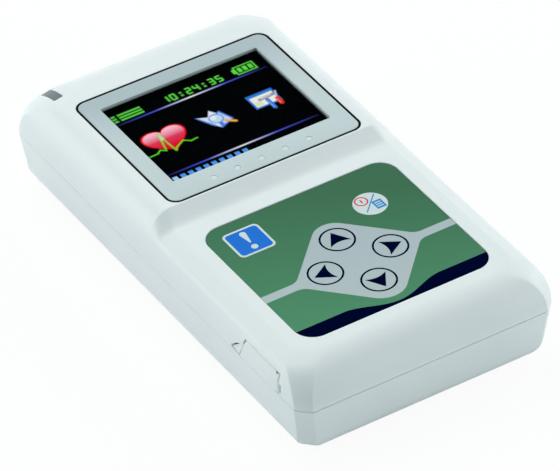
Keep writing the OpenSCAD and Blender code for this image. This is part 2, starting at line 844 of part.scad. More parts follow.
module battery_plates() {
    color("silver") for (s = [-1, 1]) for (y = [bay_front_y + plate_t / 2, bay_back_y - plate_t / 2])
        box(s * cell_x, y, cell_z - plate_w / 2, plate_w, plate_t, plate_w);
}

top_cover();
bottom_cover();
cover_seal();
case_screws();
screen_bezel();
bezel_dots();
bezel_seal();
display_lens();
display_glass();
display_frame();
display_flex();
flex_connector();
keypad_film();
keypad_adhesive();
key_up();
key_down();
key_left();
key_right();
key_mark();
key_power();
key_domes();
main_board();
board_screws();
board_chips();
amplifier_shield();
buzzer();
indicator_window();
indicator_light();
lead_socket();
lead_contacts();
data_socket();
side_cover();
side_cover_pin();
battery_door();
batteries();
battery_springs();
battery_plates();
rating_plate();
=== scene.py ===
import bmesh
import bpy
import numpy as np
from mathutils import Matrix
from mathutils.geometry import delaunay_2d_cdt


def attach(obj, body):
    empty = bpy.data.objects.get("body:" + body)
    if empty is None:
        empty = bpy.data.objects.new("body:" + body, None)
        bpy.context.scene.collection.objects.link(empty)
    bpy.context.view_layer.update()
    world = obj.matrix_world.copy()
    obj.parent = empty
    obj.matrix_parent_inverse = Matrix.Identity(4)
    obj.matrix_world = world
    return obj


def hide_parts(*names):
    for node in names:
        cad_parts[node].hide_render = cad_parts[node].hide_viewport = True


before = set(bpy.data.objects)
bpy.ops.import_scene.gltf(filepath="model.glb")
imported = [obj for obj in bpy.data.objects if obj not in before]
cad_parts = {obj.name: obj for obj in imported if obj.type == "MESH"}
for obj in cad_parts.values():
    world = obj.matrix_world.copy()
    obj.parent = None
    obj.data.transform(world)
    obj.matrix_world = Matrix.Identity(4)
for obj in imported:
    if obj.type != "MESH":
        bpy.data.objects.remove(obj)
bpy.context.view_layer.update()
scene = bpy.context.scene

# ---- camera ---------------------------------------------------------------------------------
# The photograph's view: from high over the keypad end's left corner, through a long lens. It was
# fitted to the casing's straight edges and to the corners of the screen.


def place(name, data):
    """A new object that holds the data, linked to the scene."""
    thing = bpy.data.objects.new(name, data)
    scene.collection.objects.link(thing)
    return thing


def standing(*columns):
    """The matrix of an object from its columns: its own x, y and z directions, and its place."""
    return Matrix([*np.column_stack(columns).tolist(), [0, 0, 0, 1]])


# the directions to the picture's right, down it and into it, and the camera's place in metres
view = np.array([[0.8469636, -0.53064565, -0.03267815],
                 [-0.35238135, -0.51428625, -0.78188045],
                 [0.39809553, 0.67373945, -0.62257136]])
stand = np.array([-0.41647, -0.70462, 0.65829])
camera = place("camera", bpy.data.cameras.new("camera"))
camera.matrix_world = standing(view[0], -view[1], -view[2], stand)
camera.data.lens = 347.3
camera.data.sensor_width = 36
camera.data.clip_end = 50
scene.camera = camera

# ---- light and floor ------------------------------------------------------------------------
# A pale studio sweep, matt, under four plain soft boxes: overhead and a little behind, to the left
# and behind, to the right, and low in front to the right. Nothing stands by the camera, so the near
# corner stays darker than the walls on both sides of it.


def add(tree, kind, values=None, **options):
    """Adds one node to a tree. options are the node's own settings. values are its inputs by name
    or number, each a plain value or another node's output, which is then linked."""
    node = tree.nodes.new(kind)
    for name, value in options.items():
        setattr(node, name, value)
    for name, value in (values or {}).items():
        if isinstance(value, bpy.types.NodeSocket):
            tree.links.new(value, node.inputs[name])
        else:
            node.inputs[name].default_value = value
    return node


def linear(code):
    """The linear colour of an sRGB hex value: v / 12.92 up to 0.04045, and over it
    ((v + 0.055) / 1.055) to the power 2.4."""
    v = np.array([int(code[i:i + 2], 16) for i in (1, 3, 5)]) / 255
    return (*np.where(v <= 0.04045, v / 12.92, ((v + 0.055) / 1.055) ** 2.4).tolist(), 1.0)


def blank(name):
    """A new material with nothing in its node tree but its Object coordinates: the material, the
    tree and those coordinates."""
    finish = bpy.data.materials.new(name)
    finish.use_nodes = True
    tree = finish.node_tree
    tree.nodes.clear()
    return finish, tree, add(tree, "ShaderNodeTexCoord").outputs["Object"]


def mixed(tree, amount, low, high):
    """The colour that runs from one hex value to another as amount goes from 0 to 1."""
    return add(tree, "ShaderNodeMix", {0: amount, 6: linear(low), 7: linear(high)}, data_type="RGBA").outputs[2]


def raised(tree, height, strength, distance):
    """The normals of a surface raised by a height: how strongly, and by how many metres at most."""
    return add(tree, "ShaderNodeBump", {"Height": height, "Strength": strength, "Distance": distance}).outputs[0]


def coat(tree, values):
    """Ends a material's tree with one surface shader that has these values."""
    shell = add(tree, "ShaderNodeBsdfPrincipled", values)
    add(tree, "ShaderNodeOutputMaterial", {"Surface": shell.outputs[0]})


scene.view_settings.view_transform = "Standard"
world = bpy.data.worlds.new("studio")
world.use_nodes = True
tree = world.node_tree
tree.nodes.clear()
rays = add(tree, "ShaderNodeLightPath").outputs
seen = add(tree, "ShaderNodeMath", {0: rays["Is Camera Ray"], 1: rays["Is Glossy Ray"]}, operation="MAXIMUM")
seen = add(tree, "ShaderNodeMath", {0: seen.outputs[0], 1: rays["Is Transmission Ray"]}, operation="MAXIMUM")
# a cool dim room lights the object, while the camera and reflections see plain white
room = add(tree, "ShaderNodeBackground", {"Color": linear("#D7FBFF"), "Strength": 0.294})
white = add(tree, "ShaderNodeBackground", {"Color": (1, 1, 1, 1), "Strength": 1.0})
sky = add(tree, "ShaderNodeMixShader", {0: seen.outputs[0], 1: room.outputs[0], 2: white.outputs[0]})
add(tree, "ShaderNodeOutputWorld", {"Surface": sky.outputs[0]})
scene.world = world

# each box's direction from the object and its power in watts
lamp_far = 1.3
for name, spot, power in [
        ("overhead box", (0, 0.6, 1), 7.8),
        ("left box", (-1, 0.7, 0.4), 7.6),
        ("right box", (1, 0, 0.5), 6.8),
        ("front box", (0.8, -1, 0.15), 6.3)]:
    spot = lamp_far * np.array(spot) / np.linalg.norm(spot)
    lamp = bpy.data.lights.new(name, "AREA")
    lamp.shape = "SQUARE"
    lamp.size = 0.9
    lamp.color = (1.0, 0.996, 0.989)
    lamp.energy = power
    away = spot / np.linalg.norm(spot)
    across = np.cross((0, 0, 1), away)
    across /= np.linalg.norm(across)
    place(name, lamp).matrix_world = standing(across, np.cross(away, across), away, spot)

# Painted board, matt: near white with a faint fleck of the roller, and to the camera mostly plain
# white, so that only the soft shadow under the object shows.
board, tree, where = blank("matt_white_board")
fleck = add(tree, "ShaderNodeTexNoise", {"Vector": where, "Scale": 300.0, "Detail": 3.0})
tone = mixed(tree, fleck.outputs["Fac"], "#F4F5F6", "#FAFBFB")
matt = add(tree, "ShaderNodeBsdfDiffuse", {"Color": tone})
glow = add(tree, "ShaderNodeEmission", {"Color": (1, 1, 1, 1), "Strength": 1.0})
rays = add(tree, "ShaderNodeLightPath").outputs
share = add(tree, "ShaderNodeMath", {0: rays["Is Camera Ray"], 1: 0.93}, operation="MULTIPLY")
board_mix = add(tree, "ShaderNodeMixShader", {0: share.outputs[0], 1: matt.outputs[0], 2: glow.outputs[0]})
add(tree, "ShaderNodeOutputMaterial", {"Surface": board_mix.outputs[0]})

reach, below = 3, -0.0003
sweep = bpy.data.meshes.new("floor")
sweep.from_pydata([(-reach, -reach, below), (reach, -reach, below), (reach, reach, below), (-reach, reach, below)],
                  [], [(0, 1, 2, 3)])
sweep.materials.append(board)
floor = place("floor", sweep)

# ---- base cover -----------------------------------------------------------------------------
# The lower half of the casing: injection-moulded white ABS, 1.8 mm thick, its walls leaning in
# to a well rounded base edge. It holds the battery bay, and four screws pass up through it.

# half the casing's width and length, the height where the covers meet, the wall, and the size of
# the upright corners in plan and how flat they are, from 0, round, to 1, a straight facet
half_w = 28.75
half_l = 53.5
part_line = 12.2
wall = 1.8
corner_r = 2.7
facet_share = 0.8
# the turn of a corner, and the stations along a side and along half an end
arc = np.linspace(0, np.pi / 2, 25)
side_y = np.array([36, 30, 24, 18, 12, 8, 5, 2.85, 2.8, 2.75, 2.7, 2.65, 2.6, 2.55, 2.2, 1.5, 0.8, 0.1,
                   -0.25, -0.5, -0.75, -1.0, -1.25, -1.5, -3, -4.6, -8, -12, -18, -24, -30, -36])
end_x = np.array([0, 4, 8, 12, 14])


def once_round(half):
    """Joins the left half of each row of points to its mirror image across x = 0."""
    mirror = half[..., ::-1, :] * (-1, 1, 1)
    return np.concatenate([half, mirror[..., 1:-1, :]], axis=-2)


def casing_rows(key_side, screen_side, front, back, r_front, r_back, mix, facet):
    """Rows of points once round the casing, from four profiles of (inset, height) rows. Along a
    side, both are a mix of the keypad's and the screen's profile. In a corner, the plan is a mix
    of a quarter circle of that row's radius and, by the share facet, of the straight line between
    its ends: (cos squared, sin squared). The height goes from the side's to the end's as the
    square of the sine of the turn."""
    k, s, f, b = (p[:, None, :] for p in (key_side, screen_side, front, back))
    rf, rb = r_front[:, None], r_back[:, None]
    flat = np.zeros((len(key_side), 1))
    down, up = arc[::-1], arc
    side = k + (s - k) * mix[:, None]

    def bent(v):
        return v + facet[:, None] * (v ** 2 - v)
    parts = [
        np.stack([flat - end_x, flat * end_x + half_l - b[..., 0], flat * end_x + b[..., 1]], -1),
        np.stack([s[..., 0] + rb - half_w - rb * bent(np.cos(down)),
                  half_l - b[..., 0] - rb + rb * bent(np.sin(down)),
                  s[..., 1] * np.cos(down) ** 2 + b[..., 1] * np.sin(down) ** 2], -1),
        np.stack([side[..., 0] - half_w, flat + side_y, side[..., 1]], -1),
        np.stack([k[..., 0] + rf - half_w - rf * bent(np.cos(up)), f[..., 0] + rf - half_l - rf * bent(np.sin(up)),
                  k[..., 1] * np.cos(up) ** 2 + f[..., 1] * np.sin(up) ** 2], -1),
        np.stack([flat - end_x[::-1], flat * end_x + f[..., 0] - half_l, flat * end_x + f[..., 1]], -1)]
    return once_round(np.concatenate(parts, axis=1))


def skin(rows, cap_low=True, cap_high=True):
    """Points and faces of rows that go round and upward: four-sided faces between neighbours, each
    row joined to its own start, with a flat face over either end."""
    count, round_ = rows.shape[:2]
    i = np.arange(round_)
    start = np.arange(count - 1)[:, None] * round_
    a, b = start + i, start + (i + 1) % round_
    faces = np.stack([a, b, b + round_, a + round_], -1).reshape(-1, 4).tolist()
    if cap_low:
        faces.append(i[::-1].tolist())
    if cap_high:
        faces.append((i + (count - 1) * round_).tolist())
    return rows.reshape(-1, 3), faces


def make(name, *skins):
    """One object from skins given in mm. Points that are the same to a hundred-thousandth of a mm
    become one, and a face left with fewer than three corners goes."""
    shift = np.cumsum([0] + [len(points) for points, _ in skins])
    points = np.vstack([points for points, _ in skins])
    kept, to = np.unique(np.round(points, 5), axis=0, return_inverse=True)
    to = to.reshape(-1)
    faces = []
    for start, (_, own) in zip(shift, skins):
        for face in own:
            loop = to[np.array(face) + start]
            loop = loop[loop != np.roll(loop, 1)]
            if len(loop) > 2:
                faces.append(loop.tolist())
    mesh = bpy.data.meshes.new(name)
    mesh.from_pydata(kept / 1000, [], faces)
    return place(name, mesh)


def combine(piece, how, *tools):
    """Joins (UNION), cuts (DIFFERENCE) or keeps the common part (INTERSECT) of a piece and each
    closed tool in turn. The tools are used up."""
    for tool in tools:
        step = piece.modifiers.new(tool.name, "BOOLEAN")
        step.operation = how
        step.solver = "MANIFOLD"
        step.object = tool
    bpy.context.view_layer.update()
    mesh = bpy.data.meshes.new_from_object(piece.evaluated_get(bpy.context.evaluated_depsgraph_get()))
    piece.modifiers.clear()
    piece.data = mesh
    for tool in tools:
        bpy.data.objects.remove(tool)


def dress(piece, finish, body, slot, *replaced, sharp=24):
    """Gives a finished piece its material and smooth shading, with edges over sharp degrees kept
    crisp, ties it to its body and hides the CAD nodes that it stands for. slot is not used."""
    mesh = piece.data
    if not any(mesh.materials):
        mesh.materials.clear()
        mesh.materials.append(finish)
        mesh.polygons.foreach_set("material_index", np.zeros(len(mesh.polygons), np.int32))
    mesh.shade_smooth()
    mesh.set_sharp_from_angle(angle=np.radians(sharp))
    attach(piece, body)
    if replaced:
        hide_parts(*replaced)


def round_outline(half, front, back, r_front, r_back, ys=side_y, xs=end_x):
    """Half of a rectangle with quarter-circle corners, from the middle of its back round the left
    to the middle of its front. The stations on its straight sides are kept between the corners."""
    def clip(v, low, high):
        return np.clip(v, low, high)
    parts = [
        (-clip(xs, 0, half - r_back), back + 0 * xs),
        (r_back - half - r_back * np.cos(arc[::-1]), back - r_back + r_back * np.sin(arc[::-1])),
        (0 * ys - half, clip(ys, front + r_front, back - r_back)),
        (r_front - half - r_front * np.cos(arc), front + r_front - r_front * np.sin(arc)),
        (-clip(xs[::-1], 0, half - r_front), front + 0 * xs)]
    return np.concatenate([np.column_stack(p) for p in parts])


def stack(rows):
    """Rows once round from a list of (outline half, height)."""
    return once_round(np.stack([np.column_stack([o, 0 * o[:, 0] + z]) for o, z in rows]))


def block(name, x, y, low, width, length, height, r=0.0):
    """An upright block of a width along x, a length along y and a height, its middle at (x, y) and
    its foot at the height low, with corner radius r."""
    outline = round_outline(width / 2, -length / 2, length / 2, r, r, ys=np.array([0.0]), xs=np.array([0.0]))
    points, faces = skin(stack([(outline, low), (outline, low + height)]))
    return make(name, (points + (x, y, 0), faces))


def spun(x, y, profile, steps=48):
    """Rows round an upright axis at (x, y), from (radius, height) rows, lowest first."""
    a = np.linspace(0, 2 * np.pi, steps, endpoint=False)
    p = np.array(profile, float)[:, None, :]
    return np.stack([x + p[..., 0] * np.cos(a), y + p[..., 0] * np.sin(a), p[..., 1] + 0 * a], -1)


def turned(name, x, y, profile, steps=48):
    """A turned solid on such rows."""
    return make(name, skin(spun(x, y, profile, steps)))


def wall_prism(name, outline, x_low, x_high):
    """A prism along x on an outline of (y, z) points that runs anticlockwise seen from +x. x_high
    may be one value for each point."""
    o = np.array(outline, float)
    rows = np.stack([np.column_stack([0 * o[:, 0] + x, o]) for x in (x_low, x_high)])
    return make(name, skin(rows))


# ABS, moulded against a finely sparked tool: a soft white with a faint cool cast. Its grain, about
# 0.1 mm in the real thing and drawn at 0.4 mm so that it shows, scatters the highlights, and broad
# flow marks change the gloss a little.
abs_white, tree, where = blank("moulded_white_abs")
grain = add(tree, "ShaderNodeTexNoise", {"Vector": where, "Scale": 2600.0, "Detail": 3.0, "Roughness": 0.6})
flow = add(tree, "ShaderNodeTexNoise", {"Vector": where, "Scale": 45.0, "Detail": 2.0})
blend = add(tree, "ShaderNodeMath", {0: grain.outputs["Fac"], 1: flow.outputs["Fac"]}, operation="MULTIPLY")
tone = mixed(tree, blend.outputs[0], "#E2E5E6", "#F0F3F3")
gloss = add(tree, "ShaderNodeMapRange", {0: flow.outputs["Fac"], 1: 0.3, 2: 0.7, 3: 0.42, 4: 0.52})
relief = raised(tree, grain.outputs["Fac"], 0.12, 0.00004)
coat(tree, {
    "Base Color": tone, "Roughness": gloss.outputs[0], "Normal": relief,
    "Specular IOR Level": 0.45, "IOR": 1.53})

# how far the base's wall leans in, the radius of its foot, the height and the easing of its rim
base_lean = 1.4
base_r = 4.5
rim = 12.16
rim_ease = 0.12


def base_form(name, t, top):
    """The base cover's outer form, or with a wall t its hollow: a quarter circle of base_r at the
    foot, then a wall that leans out by base_lean to the parting line, and an eased rim."""
    a = np.linspace(0, np.pi / 2, 13)
    z = np.concatenate([base_r * (1 - np.cos(a)), [7, 9.5]])
    edge = np.concatenate([base_r * (1 - np.sin(a)), [0, 0]])
    inset = edge + base_lean * (part_line - z) / part_line
    ease = rim_ease if t == 0 else 0
    c = np.linspace(0, np.pi / 2, 4)
    z = np.concatenate([np.maximum(z, t), top - ease + ease * np.sin(c)])
    at_top = base_lean * (part_line - min(top, part_line)) / part_line
    inset = np.concatenate([inset, at_top + ease * (1 - np.cos(c))])
    r = np.full(len(z), max(corner_r - t, 0.5))
    profile = np.column_stack([inset + t, z])
    rows = casing_rows(profile, profile, profile, profile, r, r, 0 * side_y, 0 * r + facet_share)
    return make(name, skin(rows))


# the middles of the battery bay and of its door, the screws, and the pin of the side cover
bay_y = -16.75
door_mid_y = -16.95
screw_spots = [(x, y) for x in (-20.3, 20.3) for y in (-44.5, 43)]
pin_x, pin_y = -27.812, -44.5
base_cover = base_form("base_cover", 0, rim)
combine(base_cover, "DIFFERENCE", base_form("hollow", wall, 13))
ribs = block("ribs", 0, door_mid_y, 0, 31.8, 58.5, 2.7)
posts = [turned("post", x, y, [(3.1, 0), (3.1, rim)]) for x, y in screw_spots]
combine(ribs, "UNION", *posts, turned("pin_boss", -26.9, pin_y, [(2.2, 8.2), (2.2, rim)]))
combine(ribs, "INTERSECT", base_form("skin", wall / 4, rim))
combine(base_cover, "UNION", ribs, block("bay_walls", 0, bay_y, 0.45, 24.1, 50.7, 13.45))
finger = turned("finger", 0, 11, [
    (0.4, -1), (3.6, -0.6), (4.6, -0.12), (4.9, 0), (4.6, 0.35), (3.4, 0.65), (0.5, 0.8)])
door_seat = block("door_seat", 0, door_mid_y, -1, 25.8, 52.8, 2.7, 0.5)
screw_wells = [turned("well", x, y, [(2.5, -1), (2.5, -0.1), (2.4, 0), (2.1, 0.3), (2.1, 6.5)])
               for x, y in screw_spots]
screw_holes = [turned("hole", x, y, [(1.15, 6), (1.15, 14)]) for x, y in screw_spots]
# the finger hold behind the side cover: its outline on the wall, and how deep it is at each point
scoop = [(-33.0, 15.6), (-32.9, 13.8), (-31.9, 12.0), (-31.0, 12.2),
         (-28.8, 12.75), (-29.1, 13.15), (-30.9, 14.75), (-32.4, 15.6)]
scoop_x = np.array([-28.2, -28.2, -28.45, -28.6, -28.5, -27.95, -27.95, -28.1])
combine(base_cover, "DIFFERENCE",
        block("bay", 0, bay_y, -1, 21.9, 48.5, 13.9), door_seat, finger,
        block("plate_seat", 0, 25.5, -1, 30, 20, 1.2, 1.5),
        block("lead_room", 0, 53.5, 10.65, 20.2, 9.6, 5.6, 0.4),
        wall_prism("scoop", scoop, -30, scoop_x), *screw_wells, *screw_holes)
dress(base_cover, abs_white, "housing", "casing", "bottom_cover")

# ---- top cover ------------------------------------------------------------------------------
# The upper half, moulded in the same ABS. Two long soft slopes run from the screen's face down to
# the keypad's; the keypad face ends in a crisp line and a slanted band; both ends are broad curves.

# the heights of the two faces, where the slope between them starts and ends, the lean of the walls,
# the cover's lower edge and its height over it, and where the shoulders' rows take over
key_face = 20.15
screen_face = 22.4
slope_foot = -0.7
slope_head = 2.7
lean = 0.03
top_foot = 12.24
top_rise = 10.16
wall_top = 17.7
# the shoulders are quarter ellipses: each starts at this height, runs in and drops by so much
shoulder_foot, front_foot, shoulder_drop = 13.8, 11.55, 8.6
side_run, end_run = 6, 7.6
# from the wall to the rows' last line, beside, at the keypad's end and at the screen's end, and the
# corner radii of that line
side_in, front_in, back_in = 6.45, 8.85, 12.1
front_in_r, back_in_r = 5.15, 2.8


def rise(y):
    """Height over the keypad face: nothing up to the slope's foot, the full drop past its head, a
    straight slope between, and each bend a parabola: (d + k) squared over 4k for d within k."""
    def bend(d, k):
        return np.where(np.abs(d) < k, (d + k) ** 2 / (4 * k), np.maximum(d, 0))
    return (screen_face - key_face) / (slope_head - slope_foot) * (
        bend(y - slope_foot, 0.8) - bend(y - slope_head, 0.15))


def quarter(z, foot, run):
    """Inset of an elliptic shoulder: run (1 - root(1 - u squared)), u the height over its foot as a
    share of its drop."""
    return run * (1 - np.sqrt(1 - np.clip((z - foot) / shoulder_drop, 0, 1) ** 2))


def bow(a, b, c, n):
    """n points of the quadratic curve from a to c that leans towards b, without a itself."""
    t = np.linspace(0, 1, n + 1)[1:, None]
    return (1 - t) ** 2 * np.array(a) + 2 * t * (1 - t) * np.array(b) + t ** 2 * np.array(c)


def top_form(t):
    """Rows of the top cover's outer skin up to the flat faces, or of its hollow with a wall t."""
    ease, c = (rim_ease if t == 0 else 0), np.linspace(0, np.pi / 2, 4)
    z_edge = top_foot + ease * (1 - np.cos(c))
    z_wall = np.linspace(top_foot + ease, wall_top, 16)[1:]
    z = np.concatenate([z_edge, z_wall])
    edge = np.concatenate([ease * (1 - np.sin(c)), 0 * z_wall])
    side = np.column_stack([edge + lean * (z - part_line) + quarter(z, shoulder_foot, side_run), z])
    front = np.column_stack([edge + quarter(z, front_foot, end_run), z])
    back = np.column_stack([edge + lean * (z - part_line) + quarter(z, shoulder_foot, end_run), z])
    # the keypad's side: a soft bend, the slanted band, and the crisp line along the face
    band = np.linspace(0, 1, 7)[1:, None] * (2.3, 1.0014) + (2.1, 19.04)
    key_side = np.vstack([side, bow(side[-1], (1.146, 18.628), (2.1, 19.04), 7), band,
                          bow((4.4, 20.0414), (4.65, key_face), (4.95, key_face), 5),
                          (5.6, key_face), (side_in, key_face)])
    # the other three: the rest of each ellipse, then the flat
    a = np.linspace(np.arcsin((wall_top - shoulder_foot) / shoulder_drop), np.pi / 2, 19)[1:]
    z = shoulder_foot + shoulder_drop * np.sin(a)
    screen_side = np.vstack([side, np.column_stack([lean * (z - part_line) + side_run * (1 - np.cos(a)), z]),
                             (6.38, screen_face), (side_in, screen_face)])
    back = np.vstack([back, np.column_stack([lean * (z - part_line) + end_run * (1 - np.cos(a)), z]),
                      (10, screen_face), (back_in, screen_face)])
    a = np.linspace(np.arcsin((wall_top - front_foot) / shoulder_drop), np.pi / 2, 19)[1:]
    front = np.vstack([front, np.column_stack([end_run * (1 - np.cos(a)), front_foot + shoulder_drop * np.sin(a)]),
                       (8.2, key_face), (front_in, key_face)])
    # the corners widen with the cube of the height, and lose their facet as they do
    up = ((screen_side[:, 1] - top_foot) / top_rise) ** 3
    facet = np.append(facet_share * (1 - up[:-2]), [0, 0])
    key_up = ((key_side[:, 1] - top_foot) / top_rise) ** 3
    r_front = np.append(corner_r + (8 - corner_r) * key_up[:-2], [6.4, front_in_r])
    r_back = np.append(corner_r + (8 - corner_r) * up[:-2], [5.4, back_in_r])
    profiles = []
    for p in (key_side, screen_side, front, back):
        low = 11.5 if t else top_foot
        sunk = low + (p[:, 1] - top_foot) * (p[-1, 1] - t - low) / (p[-1, 1] - top_foot)
        profiles.append(np.column_stack([p[:, 0] + t, sunk]))
    mix = rise(side_y) / (screen_face - key_face)
    return casing_rows(*profiles, np.maximum(r_front - t, 0.5), np.maximum(r_back - t, 0.5), mix, facet)


def grid_faces(n, m):
    """Four-sided faces of a grid of n rows of m points."""
    a = (np.arange(n - 1)[:, None] * m + np.arange(m - 1)).reshape(-1)
    return np.column_stack([a, a + 1, a + m + 1, a + m]).tolist()


def face_skins(inner_key, inner_screen, half, front, back, r_front, r_back, t):
    """The flat keypad face, the slope and the flat screen face, inside the last row of top_form.
    Each flat face runs in to the rows of its recess."""
    band_y = side_y[(side_y > -4.7) & (side_y < 2.9)]
    ends = (band_y[-1], band_y[0])
    key_ys = np.where(side_y < ends[0], side_y, ends[0])
    screen_ys = np.where(side_y > ends[1], side_y, ends[1])
    key_out = round_outline(half, front, ends[0], r_front, 0, ys=key_ys)
    screen_out = round_outline(half, ends[1], back, 0, r_back, ys=screen_ys)
    key_rows = stack([(key_out, key_face - t)] + inner_key(key_ys))
    screen_rows = stack([(screen_out, screen_face - t)] + inner_screen(screen_ys))
    xs = np.concatenate([[-half], -end_x[::-1], end_x[1:], [half]])
    x, y = np.meshgrid(xs, band_y[::-1])
    slope = np.stack([x, y, key_face - t + rise(y)], -1)
    return [skin(key_rows, False, True), skin(screen_rows, False, True), (slope.reshape(-1, 3), grid_faces(*x.shape))]


def recess(half, front, back, r, edge, ease, bottom, steps):
    """Gives the rows down into a recess for any stations ys: its edge, eased upwards and outwards
    from the height edge, and the foot of its wall."""
    def rows_at(ys):
        a = np.linspace(0, np.pi / 2, steps)
        grow, z = ease * (1 - np.sin(a)), edge + ease * np.cos(a)
        rows = [(round_outline(half + g, front - g, back + g, r + g, r + g, ys=ys), h) for g, h in zip(grow, z)]
        return rows + [(rows[-1][0], bottom)]
    return rows_at


def plain_face(front, back, level):
    """Gives one row on a plain face for any stations ys."""
    return lambda ys: [(round_outline(10, front, back, 2, 2, ys=ys), level)]


def casing_top(name, t=0.0, recessed=False):
    """The top cover's closed outer form, with the film's and the bezel's recess if asked, or with a
    wall t the hollow inside it."""
    if recessed:
        inner = (recess(21.35, -43.7, -5.0, 4.2, 20.0, 0.15, 19.55, 5),
                 recess(22, 3.0, 41.1, 2.5, 22.3, 0.1, 21.75, 4))
    else:
        inner = (plain_face(-40, -10, key_face - t), plain_face(8, 36, screen_face - t))
    faces = face_skins(*inner, half_w - side_in - t, front_in - half_l + t, half_l - back_in - t,
                       front_in_r - t, back_in_r - t, t)
    return make(name, skin(top_form(t), True, False), *faces)


# the keys: four round the middle of the cross, and two over its arms
key_step, cross_y = 7.3, -28.35
arrow_keys = {"up": (0.0, -21.05), "down": (0.0, -35.65), "left": (-key_step, cross_y), "right": (key_step, cross_y)}
power_spot = (11.1, -15.35)
mark_spot = (-14.0, -11.85)
top_cover = casing_top("top_cover_shell", recessed=True)
combine(top_cover, "DIFFERENCE", casing_top("hollow", t=wall))
hinge_frame = block("hinge_frame", -25.35, -37.75, top_foot, 3.6, 20.9, 3.6)
bosses = [turned("boss", x, y, [(2.8, top_foot), (2.8, 22)]) for x, y in screw_spots]
studs = [turned("stud", x, y, [(1.9, 17.76), (1.9, 22)]) for x, y in ((-22.3, -0.95), (22.3, -0.95), (13, 46))]
combine(bosses[0], "UNION", *bosses[1:], *studs)
combine(bosses[0], "INTERSECT", casing_top("skin", t=0.8))
combine(top_cover, "UNION", hinge_frame, bosses[0])
round_keys = [*arrow_keys.values(), power_spot]
key_wells = [turned("key_well", x, y, [(3.46, 19.25), (3.46, 19.8)]) for x, y in round_keys]
stem_holes = [turned("stem_hole", x, y, [(1.9, 15), (1.9, 19.4)]) for x, y in [*round_keys, mark_spot]]
screw_cores = [turned("core", x, y, [(0.85, 12), (0.85, 17.2)]) for x, y in screw_spots]
flap_room = [(-45.55, 12.0), (-31.2, 12.0), (-31.2, 12.14), (-32.15, 14.4), (-33.15, 16.98), (-45.55, 16.98)]
combine(top_cover, "DIFFERENCE", *key_wells, *stem_holes, *screw_cores,
        block("mark_well", *mark_spot, 19.25, 8, 8, 0.6, 1.1),
        block("window_room", 0, 23.05, 17.5, 38.8, 30.6, 4.3, 0.6),
        wall_prism("flap_room", flap_room, -30, -27.31),
        wall_prism("scoop", scoop, -30, scoop_x),
        block("finger_slot", -28.4, -45.9, 12.9, 2.4, 0.8, 2.0, 0.3),
        wall_prism("rear_slit", [(-29.0, 12.8), (-28.9, 13.1), (-30.8, 14.75), (-31.0, 14.45)], -30, -27.4),
        turned("barrel_room", pin_x, pin_y, [(0.95, 11.5), (0.95, 16.98)]),
        block("data_room", -24.25, -38, 12.15, 11, 8.3, 4.2, 0.3),
        block("lead_room", 0, 53.5, 10.65, 20.2, 9.6, 5.6, 0.4),
        block("light_room", -22.5, 50, 17.9, 2.06, 10.06, 6, 0.35))
dress(top_cover, abs_white, "housing", "casing", "top_cover")

# ---- seal -----------------------------------------------------------------------------------
# Two strips of black foam rubber, pressed into the groove in the base cover's rim. They stop at the
# lead socket and at the side cover's pin.

# Closed-cell rubber cut from a sheet: a dull black, open pores of about 0.2 mm on every cut face.
foam, tree, where = blank("black_foam_rubber")
pores = add(tree, "ShaderNodeTexVoronoi", {"Vector": where, "Scale": 5000.0})
tone = mixed(tree, pores.outputs["Distance"], "#14181A", "#2C3234")
relief = raised(tree, pores.outputs["Distance"], 0.5, 0.0001)
coat(tree, {
    "Base Color": tone, "Roughness": 0.85, "Normal": relief, "Specular IOR Level": 0.3})


def keep(node, *finishes):
    """A CAD piece whose shape is right gets its real finish."""
    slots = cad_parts[node].data.materials
    for i, finish in enumerate(finishes):
        if i < len(slots):
            slots[i] = finish
        else:
            slots.append(finish)
    for i in range(len(finishes), len(slots)):
        slots[i] = finishes[-1]


keep("cover_seal", foam)

# ---- batteries, springs and contact plates --------------------------------------------------
# Two AAA cells lie side by side in the bay, head to tail. Each stands between a sprung contact of
# wound steel wire and a flat one of stamped sheet, all nickel plated.

# Nickel on rolled steel: a warm grey mirror, blurred by fine lines along y and stained a little. The
# lines, a few hundredths of a mm apart, are drawn 0.2 mm apart.
nickel, tree, where = blank("nickel_plated_steel")
long_way = add(tree, "ShaderNodeMapping", {"Vector": where, "Scale": (6000.0, 400.0, 6000.0)})
lines = add(tree, "ShaderNodeTexNoise", {"Vector": long_way.outputs[0], "Scale": 1.0, "Detail": 3.0})
stain = add(tree, "ShaderNodeTexNoise", {"Vector": where, "Scale": 350.0, "Detail": 2.0})
tone = mixed(tree, stain.outputs["Fac"], "#B9B6AE", "#D6D3CC")
gloss = add(tree, "ShaderNodeMapRange", {0: lines.outputs["Fac"], 3: 0.22, 4: 0.42})
relief = raised(tree, lines.outputs["Fac"], 0.1, 0.00002)
coat(tree, {
    "Base Color": tone, "Metallic": 1.0, "Roughness": gloss.outputs[0], "Normal": relief})


